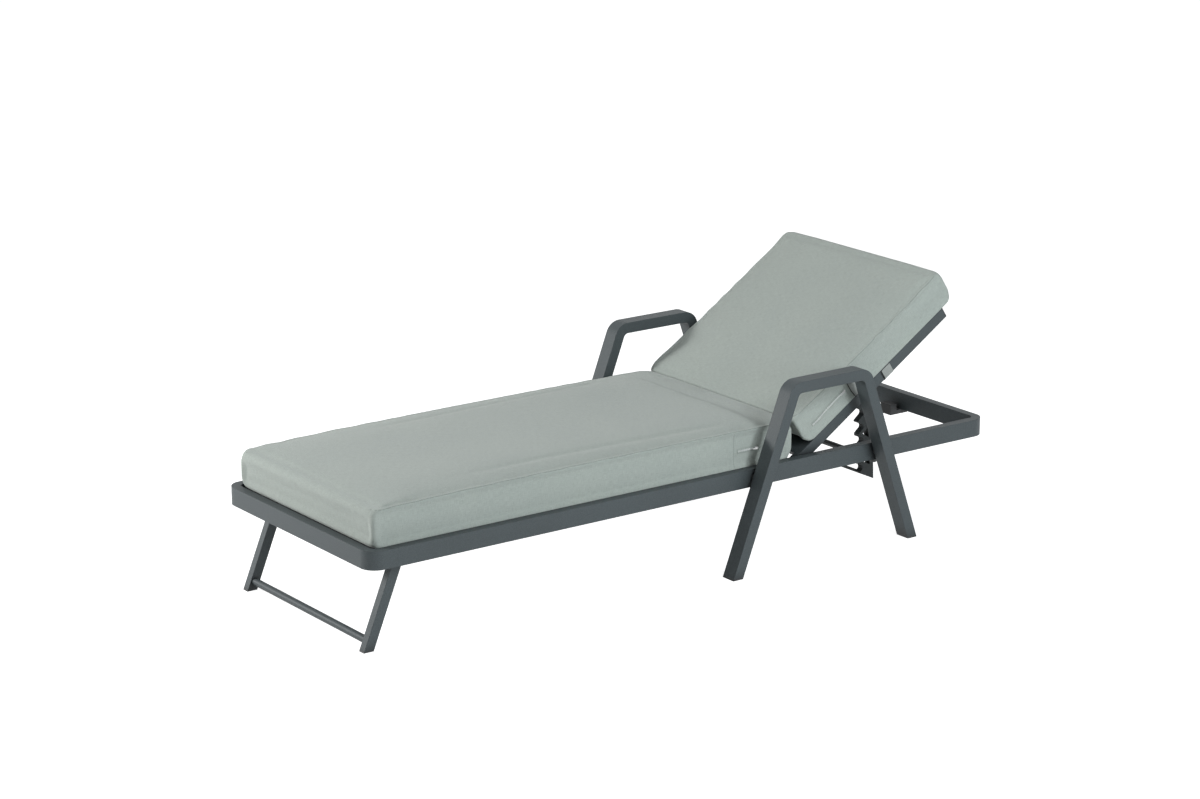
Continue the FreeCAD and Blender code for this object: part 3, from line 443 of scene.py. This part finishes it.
def relax(mesh):
    """Even out steps in the mesh by moving each point half way to its neighbours' middle."""
    points = points_of(mesh)
    edges = numpy.empty(len(mesh.edges) * 2, dtype=numpy.int32)
    mesh.edges.foreach_get("vertices", edges)
    a, b = edges.reshape(-1, 2).T
    count = numpy.bincount(edges, minlength=len(points)).astype(float)
    for _ in range(RELAX_ROUNDS):
        total = numpy.empty_like(points)
        for axis in range(3):
            total[:, axis] = numpy.bincount(a, points[b, axis], len(points)) + \
                numpy.bincount(b, points[a, axis], len(points))
        points += (total / count[:, None] - points) * 0.5
    set_points(mesh, points)


def subdivide(piece):
    """Split each face once more, rounder than before."""
    bpy.context.view_layer.objects.active = piece
    modifier = piece.modifiers.new("subdivision", "SUBSURF")
    modifier.levels = 1
    modifier.render_levels = 1
    bpy.ops.object.modifier_apply(modifier=modifier.name)


def dense(points, step=0.004):
    """The same polyline with points close together."""
    out = []
    for a, b in zip(points, points[1:]):
        a, b = Vector(a), Vector(b)
        count = max(1, int((b - a).length / step))
        out += [a.lerp(b, k / count) for k in range(count)]
    out.append(Vector(points[-1]))
    return out


def surface(mesh):
    """A search tree over a mesh, for rays and nearest points."""
    bm = bmesh.new()
    bm.from_mesh(mesh)
    tree = BVHTree.FromBMesh(bm)
    bm.free()
    return tree


def onto(tree, points, lift):
    """Points moved to the nearest spot of a surface and lifted off it; their normals too."""
    places, normals = [], []
    for point in points:
        place, normal, _, _ = tree.find_nearest(Vector(point))
        places.append(place + normal * lift)
        normals.append(normal)
    return places, normals


def from_side(tree, points, lift):
    """Points moved along Y on to the side of a cushion, straight as seen from there."""
    places, normals = [], []
    for point in points:
        side = 1.0 if point[1] > 0 else -1.0
        start = Vector((point[0], side * (HALF + 0.05), point[2]))
        place, normal, _, _ = tree.ray_cast(start, Vector((0.0, -side, 0.0)))
        if place is None or abs(place.y) < HALF - 0.03:
            place, normal, _, _ = tree.find_nearest(Vector(point))
        places.append(place + normal * lift)
        normals.append(normal)
    return places, normals


CORNER = 0.030
PROUD = 0.012
HALVINGS = 24
WAYS = {"foot": (-1.0, 0.0, 0.0), "head": (1.0, 0.0, 0.0), "top": (0.0, 0.0, 1.0),
        "low": (0.0, 0.0, -1.0)}


def outward(face, points):
    """The way out of a cushion's face at each point; the sides have two ways."""
    if face != "side":
        return numpy.tile(WAYS[face], (len(points), 1))
    ways = numpy.zeros_like(points)
    ways[:, 1] = numpy.sign(points[:, 1])
    return ways


def crisp(mesh, depths, one, two, radius, reach):
    """Pull the softened edge of two faces out, but not where it ends in a corner.

    depths gives how far inside each face points lie; reach is how far the pull goes.
    """
    points = points_of(mesh)
    every = depths(points)
    a, b = every[one], every[two]
    others = [depth for face, depth in every.items() if face not in (one, two)]
    third = numpy.min(others, axis=0)
    far = numpy.maximum(a, b)
    near = numpy.minimum(a, b)
    pick = numpy.nonzero((far < reach) & (near > -PROUD))[0]
    p, q = a[pick], b[pick]
    low, high = numpy.minimum(p, q) - radius, numpy.minimum(p, q)
    for _ in range(HALVINGS):
        middle = (low + high) / 2
        u = radius - (p - middle)
        v = radius - (q - middle)
        inside = numpy.where((u > 0) & (v > 0), numpy.hypot(u, v) - radius,
                             numpy.maximum(u, v) - radius) < 0
        low = numpy.where(inside, middle, low)
        high = numpy.where(inside, high, middle)
    fade = numpy.clip((reach - far[pick]) / (reach * 0.45), 0.0, 1.0)
    corner = numpy.clip(third[pick] / CORNER, 0.0, 1.0)
    for share in (fade, corner):
        low = low * share * share * (3.0 - 2.0 * share)
        high = high * share * share * (3.0 - 2.0 * share)
    move = (low + high) / 2
    ways = outward(one, points[pick]) + outward(two, points[pick])
    points[pick] += ways * move[:, None]
    set_points(mesh, points)


def read_all(table, x):
    """lookup for a whole array."""
    return numpy.interp(x, [row[0] for row in table], [row[1] for row in table])


def sink_seams(mesh, lines, depth, width):
    """Press the surface in along sewn lines, all of which lie near the sides."""
    seams = [p for line in lines for p in line]
    tree = KDTree(len(seams))
    for i, p in enumerate(seams):
        tree.insert(p, i)
    tree.balance()
    near = numpy.nonzero(numpy.abs(points_of(mesh)[:, 1]) > HALF - 0.025)[0]
    pushes = {}
    for i in near.tolist():
        v = mesh.vertices[i]
        distance = tree.find(v.co)[2]
        if distance < width * 3.0:
            pushes[i] = v.normal * (depth * math.exp(-(distance / width) ** 2))
    for i, push in pushes.items():
        mesh.vertices[i].co -= push
    mesh.update()


def ribbon(name, points, normals, width, thick, material):
    """A flat strip with rounded edges along points, its broad side on the normals."""
    section = [(-0.5, 0.0), (-0.46, 0.42), (-0.3, 0.5), (0.3, 0.5), (0.46, 0.42), (0.5, 0.0),
               (0.46, -0.42), (0.3, -0.5), (-0.3, -0.5), (-0.46, -0.42)]
    bm = bmesh.new()
    layer = bm.loops.layers.uv.new("weave")
    rings, runs = [], []
    count = len(points)
    run = 0.0
    for i, point in enumerate(points):
        ahead = points[min(i + 1, count - 1)] - points[max(i - 1, 0)]
        ahead.normalize()
        normal = normals[i].normalized()
        side = ahead.cross(normal).normalized()
        normal = side.cross(ahead).normalized()
        rings.append([bm.verts.new(point + side * a * width + normal * b * thick)
                      for a, b in section])
        if i:
            run += (points[i] - points[i - 1]).length
        runs.append(run)
    size = len(section)
    for k, (a, b) in enumerate(zip(rings, rings[1:])):
        for i in range(size):
            j = (i + 1) % size
            face = bm.faces.new((a[i], a[j], b[j], b[i]))
            across = [section[i][0] * width, section[j][0] * width]
            for loop, (u, v) in zip(face.loops, ((runs[k], across[0]), (runs[k], across[1]),
                                                 (runs[k + 1], across[1]),
                                                 (runs[k + 1], across[0]))):
                loop[layer].uv = (u, v)
    bm.faces.new(rings[0][::-1])
    bm.faces.new(rings[-1])
    bmesh.ops.recalc_face_normals(bm, faces=bm.faces)
    mesh = bpy.data.meshes.new(name)
    bm.to_mesh(mesh)
    bm.free()
    smooth(mesh, 60.0)
    return new_object(name, mesh, material)


TAPE_WIDTH, TAPE_THICK = 0.0145, 0.0012
TEETH_PITCH = 0.0024


def turned(points, normals, i):
    """The ways ahead, up and aside at one point of a line."""
    ahead = (points[i + 1] - points[i - 1]).normalized()
    up = normals[i].normalized()
    return ahead, up, ahead.cross(up).normalized()


def zip_fastener(name, points, normals):
    """Tape, two rows of teeth and a slider, as one object of three materials."""
    made = ribbon(name, points, normals, TAPE_WIDTH, TAPE_THICK, tape)
    mesh = made.data
    mesh.materials.append(coil)
    mesh.materials.append(bolts)
    bm = bmesh.new()
    bm.from_mesh(mesh)
    run = 0.0
    due = TEETH_PITCH
    end = len(points) - 1
    for i in range(1, end):
        run += (points[i] - points[i - 1]).length
        while run >= due:
            due += TEETH_PITCH
            ahead, up, side = turned(points, normals, i)
            for sign in (-1, 1):
                centre = points[i] + up * 0.0011 + side * 0.0009 * sign + \
                    ahead * TEETH_PITCH * 0.25 * sign
                tooth(bm, centre, ahead * 0.0008, side * 0.0017, up * 0.0009, 1)
    i = end - 6
    ahead, up, side = turned(points, normals, i)
    tooth(bm, points[i] + up * 0.0026, ahead * 0.0052, side * 0.0042, up * 0.0018, 2)
    tooth(bm, points[i] + up * 0.0046 - ahead * 0.006, ahead * 0.0085, side * 0.0025,
          up * 0.0007, 2)
    bm.to_mesh(mesh)
    bm.free()
    return made


def tooth(bm, centre, ahead, side, up, index):
    """A small block with cut corners."""
    rings = []
    for level, grow in ((-1.0, 1.0), (0.4, 1.0), (1.0, 0.7)):
        ring = []
        for a, b in ((-1, -0.6), (-0.6, -1), (0.6, -1), (1, -0.6), (1, 0.6), (0.6, 1),
                     (-0.6, 1), (-1, 0.6)):
            ring.append(bm.verts.new(centre + ahead * a * grow + side * b * grow +
                                     up * level))
        rings.append(ring)
    faces = []
    for p, q in zip(rings, rings[1:]):
        for i in range(8):
            j = (i + 1) % 8
            faces.append(bm.faces.new((p[i], p[j], q[j], q[i])))
    faces.append(bm.faces.new(rings[-1]))
    faces.append(bm.faces.new(rings[0][::-1]))
    for face in faces:
        face.material_index = index


# seat cushion

HALF = 0.3205
IN = 0.003
FOOT_ROUND = 0.017
SEAT_X0, SEAT_X1, SEAT_Z0 = -0.972, 0.3300, 0.2663
SEAT_SEAM = [(-0.972, 0.3655), (-0.90, 0.3690), (-0.70, 0.3727), (-0.35, 0.3745),
             (0.0, 0.3742), (0.20, 0.3725), (0.330, 0.3722)]


def along_seam(seam, x_from, x_to, count):
    """Outline points at the seam's height, the first one left out."""
    points = []
    for k in range(1, count + 1):
        x = x_from + (x_to - x_from) * k / count
        points.append((x, lookup(seam, x)))
    return points


def seat_profile():
    """Outline of the seat cushion from its side, round at the foot end, square at the fold."""
    foot, top_edge, low_edge = 0.015, 0.006, 0.008
    top = lookup(SEAT_SEAM, SEAT_X0)
    points = []
    points += arc(SEAT_X0 + IN + foot, SEAT_Z0 + foot, foot, 270, 180, 5)
    points += arc(SEAT_X0 + IN + foot, top - foot, foot, 180, 90, 6)
    x_from, x_to = SEAT_X0 + IN + foot, SEAT_X1 - IN - top_edge
    points += along_seam(SEAT_SEAM, x_from, x_to, 60)
    points += arc(x_to, lookup(SEAT_SEAM, SEAT_X1) - top_edge, top_edge, 90, 0, 3)[1:]
    points += arc(SEAT_X1 - IN - low_edge, SEAT_Z0 + low_edge, low_edge, 0, -90, 3)
    return points


def seat_crown(x, y, z):
    """How far the seat's top bulges over its seams."""
    if z < 0.30:
        return 0.0
    along = ease((x - SEAT_X0) / 0.16) * ease((SEAT_X1 - x) / 0.10 + 0.35)
    across = ease((HALF - abs(y)) / 0.13)
    return 0.0075 * along * across * ease((z - 0.30) / 0.05)


def soften(mesh, seed, height, bottom):
    """Broad, shallow unevenness of the foam and the cover, none on the underside."""
    points = points_of(mesh)
    normals = numpy.empty(points.size)
    mesh.vertex_normals.foreach_get("vector", normals)
    lift = numpy.zeros(len(points))
    for i, (x, y, z) in enumerate(points.tolist()):
        if z > bottom + 0.012:
            broad = noise.noise((x * 3.2, y * 3.2, z * 6.0 + seed))
            fine = noise.noise((x * 11.0, y * 11.0, z * 16.0 + seed))
            lift[i] = height * (broad * 0.8 + fine * 0.35)
    set_points(mesh, points + normals.reshape(-1, 3) * lift[:, None])


def press(mesh, dent, bottom):
    """Lower the top of a cushion by dent(x, y), a depth in metres."""
    points = points_of(mesh)
    for i, (x, y, z) in enumerate(points.tolist()):
        if z > bottom + 0.05:
            points[i, 2] = z - dent(x, y) * ease((z - bottom - 0.05) / 0.03)
    set_points(mesh, points)


def seat_dents(x, y):
    """The sag before the fold, steep on its foot side, and the slack along the near seams."""
    inside = ease((HALF - abs(y)) / 0.05)
    steep = ease((x - 0.222) / 0.022)
    back_up = 1.0 - ease((x - 0.246) / 0.075)
    wander = 0.75 + 0.25 * math.sin(y * 9.0 + 1.0)
    sag = 0.0042 * steep * back_up * inside * wander
    run = ease((x + 0.80) / 0.35) * (1.0 - ease((x - 0.06) / 0.12))
    line = 0.252 + 0.014 * math.sin(x * 3.3 + 0.4)
    slack = 0.0026 * math.exp(-((abs(y) - line) / 0.013) ** 2) * run
    pucker = 0.0007 * math.sin(x * 74.0 + 2.0 * math.sin(x * 13.0)) * \
        math.exp(-((HALF - abs(y)) / 0.022) ** 2) * (0.55 + 0.45 * math.sin(x * 6.1))
    return sag + slack + pucker


def depths_of(x_from, x_to, base, seam, crown):
    """A function that tells how deep points lie behind each face of a cushion."""
    def depths(points):
        x, y, z = points.T
        rise = numpy.array([crown(*row) for row in points.tolist()])
        return {"foot": x - x_from, "head": x_to - x, "side": HALF - numpy.abs(y),
                "top": read_all(seam, x) + rise - z, "low": z - base}
    return depths


def sharpen(mesh, depths, edges):
    """Give each edge, named by its two faces, its radius and the reach of its pull."""
    for one, two, radius, reach in edges:
        crisp(mesh, depths, one, two, radius, reach)


VOXEL_SEAT, VOXEL_BACK = 0.0065, 0.0060
PRESSURE, PUFF_CAP = 4.0, 0.0050


def make_seat():
    """The seat cushion's cover, puffed, uneven, sharpened and pressed in."""
    mesh = shell("seat_cushion_cover", seat_profile(), HALF - IN, seat_crown)
    piece = new_object("seat_cushion_cover", mesh, fabric)
    puff(piece, VOXEL_SEAT, PRESSURE, PUFF_CAP, SEAT_Z0)
    relax(piece.data)
    soften(piece.data, 3.0, 0.0014, SEAT_Z0)
    subdivide(piece)
    depths = depths_of(SEAT_X0, SEAT_X1, SEAT_Z0, SEAT_SEAM, seat_crown)
    sharpen(piece.data, depths, (
        ("foot", "top", FOOT_ROUND, 0.045), ("foot", "low", FOOT_ROUND, 0.030),
        ("foot", "side", 0.012, 0.030), ("head", "side", 0.007, 0.026),
        ("head", "top", 0.008, 0.026), ("side", "low", 0.006, 0.020),
        ("side", "top", 0.005, 0.017)))
    press(piece.data, seat_dents, SEAT_Z0)
    return piece


DOWN_SEAM = 0.139
UNDER_SEAM = 0.0016


def edge_line(seam, y, begin, length, count, wave):
    """A sewn line just under a cushion's top edge, hand-guided and so not quite straight."""
    line = []
    for k in range(count + 1):
        x = begin + k * length / count
        line.append((x, y, lookup(seam, x) - UNDER_SEAM + 0.0004 * math.sin(x * wave)))
    return line


def seat_lines(side):
    """Sewn lines on one side, side -1 on the left: over the panel, and down it."""
    y = HALF * side
    edge = edge_line(SEAT_SEAM, y, SEAT_X0 + 0.004, SEAT_X1 - SEAT_X0 - 0.008, 240, 61.0)
    down = [(DOWN_SEAM, y, 0.3670), (DOWN_SEAM, y, 0.276)]
    return edge, down


THREAD_RADIUS = 0.0008
SUNK, SUNK_WIDTH = 0.0014, 0.0034


def sewn(piece, sides):
    """Sink sewn lines into the cover, then lay a fine cord along each."""
    tree = surface(piece.data)
    lines = [(name, dense(line)) for name, line in sides]
    sink_seams(piece.data, [from_side(tree, line, 0.0)[0] for _, line in lines], SUNK,
               SUNK_WIDTH)
    tree = surface(piece.data)
    made = []
    for name, line in lines:
        points, normals = from_side(tree, line, -0.0002)
        made.append(ribbon(name, points, normals, THREAD_RADIUS * 2.0, THREAD_RADIUS * 1.1,
                           thread))
    return made, tree


def side_lines(stem, lines):
    """Name the lines of both sides, left and right."""
    named = []
    for side, word in SIDES:
        for number, line in enumerate(lines(side), start=1):
            named.append(("%s_%s_seam_%d" % (stem, word, number), line))
    return named


ZIP_STEP, ZIP_LIFT = 0.0015, 0.0004


def side_zip(name, tree, ends):
    """A zip laid on a cushion's near side between two points."""
    line, normals = onto(tree, dense(ends, ZIP_STEP), ZIP_LIFT)
    return zip_fastener(name, line, normals)


SEAT_ZIP = [(0.1496, -HALF, 0.3165), (0.219, -HALF, 0.3165)]

seat = make_seat()
made, seat_tree = sewn(seat, side_lines("seat", seat_lines))
seat_pieces = [seat] + made
seat_pieces.append(side_zip("seat_zip", seat_tree, SEAT_ZIP))
smooth(seat.data, 50.0)
box_map(seat.data)
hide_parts("seat_cushion")
for piece in seat_pieces:
    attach(piece, "base")


# back cushion, in the backrest's own axes until it is tilted up

BACK_U0, BACK_U1, BACK_V0 = 0.0560, 0.6625, 0.0153
END_ROUND = 0.020
BACK_SEAM = [(0.056, 0.1120), (0.15, 0.1095), (0.30, 0.1075), (0.50, 0.1080), (0.60, 0.1095),
             (0.6625, 0.1150)]


def back_profile():
    """Outline of the backrest cushion from its side."""
    low_fold, top_fold, end = 0.026, 0.007, 0.018
    points = []
    points += arc(BACK_U0 + IN + low_fold, BACK_V0 + low_fold, low_fold, 270, 180, 6)
    points += arc(BACK_U0 + IN + top_fold, lookup(BACK_SEAM, BACK_U0) - top_fold, top_fold,
                  180, 90, 3)
    x_from, x_to = BACK_U0 + IN + top_fold, BACK_U1 - IN - end
    points += along_seam(BACK_SEAM, x_from, x_to, 30)
    z = lookup(BACK_SEAM, x_to)
    points += arc(x_to, z - end, end, 86, 4, 6)
    points += arc(x_to, BACK_V0 + end, end, 0, -90, 5)
    return points


def back_crown(x, y, z):
    """How far the backrest cushion's front bulges over its seams."""
    if z < 0.05:
        return 0.0
    along = ease((x - BACK_U0) / 0.12 + 0.15) * ease((BACK_U1 - x) / 0.09 + 0.25)
    across = ease((HALF - abs(y)) / 0.14)
    return 0.0080 * along * across * ease((z - 0.05) / 0.05)


def back_dents(x, y):
    """Fine puckers at the side seams and two soft pulls from the fold."""
    pucker = 0.0006 * math.sin(x * 81.0 + 2.0 * math.sin(x * 17.0)) * \
        math.exp(-((HALF - abs(y)) / 0.020) ** 2)
    low = 1.0 - ease((x - 0.075) / 0.10)
    pull = 0.0012 * low * math.sin(y * 31.0 + 2.2) * ease((HALF - abs(y)) / 0.05)
    return pucker + pull


def make_back():
    """The backrest cushion's cover, made as the seat's."""
    mesh = shell("back_cushion_cover", back_profile(), HALF - IN, back_crown)
    piece = new_object("back_cushion_cover", mesh, fabric)
    puff(piece, VOXEL_BACK, PRESSURE, PUFF_CAP, BACK_V0)
    relax(piece.data)
    soften(piece.data, 11.0, 0.0013, BACK_V0)
    subdivide(piece)
    depths = depths_of(BACK_U0, BACK_U1, BACK_V0, BACK_SEAM, back_crown)
    sharpen(piece.data, depths, (
        ("head", "top", END_ROUND, 0.040), ("head", "low", END_ROUND, 0.030),
        ("foot", "side", 0.007, 0.026), ("head", "side", 0.016, 0.032),
        ("side", "low", 0.005, 0.020), ("foot", "top", 0.006, 0.026),
        ("side", "top", 0.005, 0.017)))
    press(piece.data, back_dents, BACK_V0)
    return piece


SEAM_END = 0.638


def back_lines(side):
    """The sewn line of one side, up to the round top end."""
    begin, length = BACK_U0 + 0.005, SEAM_END - BACK_U0 - 0.005
    return (edge_line(BACK_SEAM, HALF * side, begin, length, 130, 67.0),)


BACK_ZIP = [(0.098, -HALF, 0.0515), (0.2385, -HALF, 0.0535)]

back = make_back()
made, back_tree = sewn(back, side_lines("back", back_lines))
back_pieces = [back] + made
back_pieces.append(side_zip("back_zip", back_tree, BACK_ZIP))
smooth(back.data, 50.0)
box_map(back.data)


# straps on the backrest

STRAP_OUT, STRAP_IN, STRAP_MID = 0.3188, 0.2972, 0.308
STRAP_TOP, STRAP_LOW, STRAP_TURN = 0.0135, -0.0163, 0.003


def strap_route(side):
    """Down the outer side of a backrest tube, under it and up the inner side."""
    out_y, in_y = STRAP_OUT * side, STRAP_IN * side
    low, r = STRAP_LOW, STRAP_TURN
    points = [Vector((0.0, out_y, STRAP_TOP)), Vector((0.0, out_y + 0.0004 * side, 0.004)),
              Vector((0.0, out_y + 0.0003 * side, -0.006)), Vector((0.0, out_y, low + r))]
    for k in range(1, 5):
        a = math.radians(90.0 * k / 4)
        points.append(Vector((0.0, out_y - r * side * (1 - math.cos(a)),
                              low + r - r * math.sin(a))))
    for k in range(0, 5):
        a = math.radians(90.0 * k / 4)
        points.append(Vector((0.0, in_y + r * side * (1 - math.sin(a)),
                              low + r - r * math.cos(a))))
    points += [Vector((0.0, in_y, -0.004)), Vector((0.0, in_y, STRAP_TOP))]
    return points


def strap(word, side):
    """The webbing loop round a tube, with a near-black strip along its lower edge."""
    points = strap_route(side)
    centre = Vector((0.0, STRAP_MID * side, 0.0))
    pieces = []
    # name, place up the backrest, width, thickness, material
    for name, u, width, thick, material in (
            ("%s_strap_webbing" % word, 0.3745, 0.0330, 0.0014, webbing),
            ("%s_strap_dark_strip" % word, 0.3565, 0.0038, 0.0020, dark_strip)):
        line = [p + Vector((u, 0.0, 0.0)) for p in points]
        normals = [(p - centre).normalized() for p in points]
        normals = [Vector((0.0, n.y, n.z)) for n in normals]
        pieces.append(ribbon(name, line, normals, width, thick, material))
    return pieces


left_strap = strap("left", -1)
right_strap = strap("right", 1)
FLAP_TOP, FLAP_LOW = 0.0705, 0.0185
flaps = []
for side, word in SIDES:
    y = (HALF + 0.002) * side
    for name, u, lift, width, thick, material in (
            ("%s_flap", 0.2710, 0.0007, 0.0370, 0.0016, webbing),
            # the second piece is a painted shadow: a near-black strip along the flap's
            # foot-side edge
            ("%s_flap_painted_shadow", 0.2515, 0.0008, 0.0022, 0.0020, dark_strip)):
        points, normals = onto(back_tree, dense([(u, y, FLAP_TOP), (u, y, FLAP_LOW)], 0.003),
                               lift)
        flaps.append(ribbon(name % word, points, normals, width, thick, material))

for piece in back_pieces + left_strap + right_strap + flaps:
    piece.data.transform(UP_BACK)
    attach(piece, "backrest")
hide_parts("back_cushion")
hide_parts("left_cushion_strap")
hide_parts("right_cushion_strap")


# floor and surroundings

def seen_directly(tree):
    """1 for a ray from the camera, a mirror or glass, else 0."""
    path = tree.nodes.new("ShaderNodeLightPath")
    last = path.outputs["Is Camera Ray"]
    for name in ("Is Glossy Ray", "Is Transmission Ray"):
        both = tree.nodes.new("ShaderNodeMath")
        both.operation = "MAXIMUM"
        tree.links.new(last, both.inputs[0])
        tree.links.new(path.outputs[name], both.inputs[1])
        last = both.outputs[0]
    return last


FLOOR_HALF = 14.0


def make_floor():
    """A plain white floor that keeps a faint shadow of the lounger."""
    bm = bmesh.new()
    for x, y in ((-1, -1), (1, -1), (1, 1), (-1, 1)):
        bm.verts.new((x * FLOOR_HALF, y * FLOOR_HALF, 0.0))
    bm.faces.new(bm.verts)
    mesh = bpy.data.meshes.new("floor")
    bm.to_mesh(mesh)
    bm.free()
    t = Tree("floor_white")
    matt = t.add("ShaderNodeBsdfDiffuse")
    matt.inputs["Color"].default_value = (0.80, 0.80, 0.80, 1.0)
    plain = t.add("ShaderNodeEmission")
    t.join(t.math("MULTIPLY", seen_directly(t.tree), FLOOR_WHITE), plain.inputs["Strength"])
    both = t.add("ShaderNodeAddShader")
    t.join(matt.outputs["BSDF"], both.inputs[0])
    t.join(plain.outputs["Emission"], both.inputs[1])
    t.join(both.outputs["Shader"], t.out.inputs["Surface"])
    return new_object("floor", mesh, t.material)


make_floor()


def make_world():
    """Soft light from all around; what the camera sees of it is plain white."""
    world = bpy.data.worlds.new("world")
    world.use_nodes = True
    tree = world.node_tree
    tree.nodes.clear()
    output = tree.nodes.new("ShaderNodeOutputWorld")
    mix = tree.nodes.new("ShaderNodeMixShader")
    tree.links.new(seen_directly(tree), mix.inputs["Fac"])
    for socket, color, strength in ((1, (0.97, 1.0, 1.0, 1.0), WORLD_LIGHT),
                                    (2, (1.0, 1.0, 1.0, 1.0), 1.0)):
        light = tree.nodes.new("ShaderNodeBackground")
        light.inputs["Color"].default_value = color
        light.inputs["Strength"].default_value = strength
        tree.links.new(light.outputs["Background"], mix.inputs[socket])
    tree.links.new(mix.outputs["Shader"], output.inputs["Surface"])
    return world


scene.world = make_world()
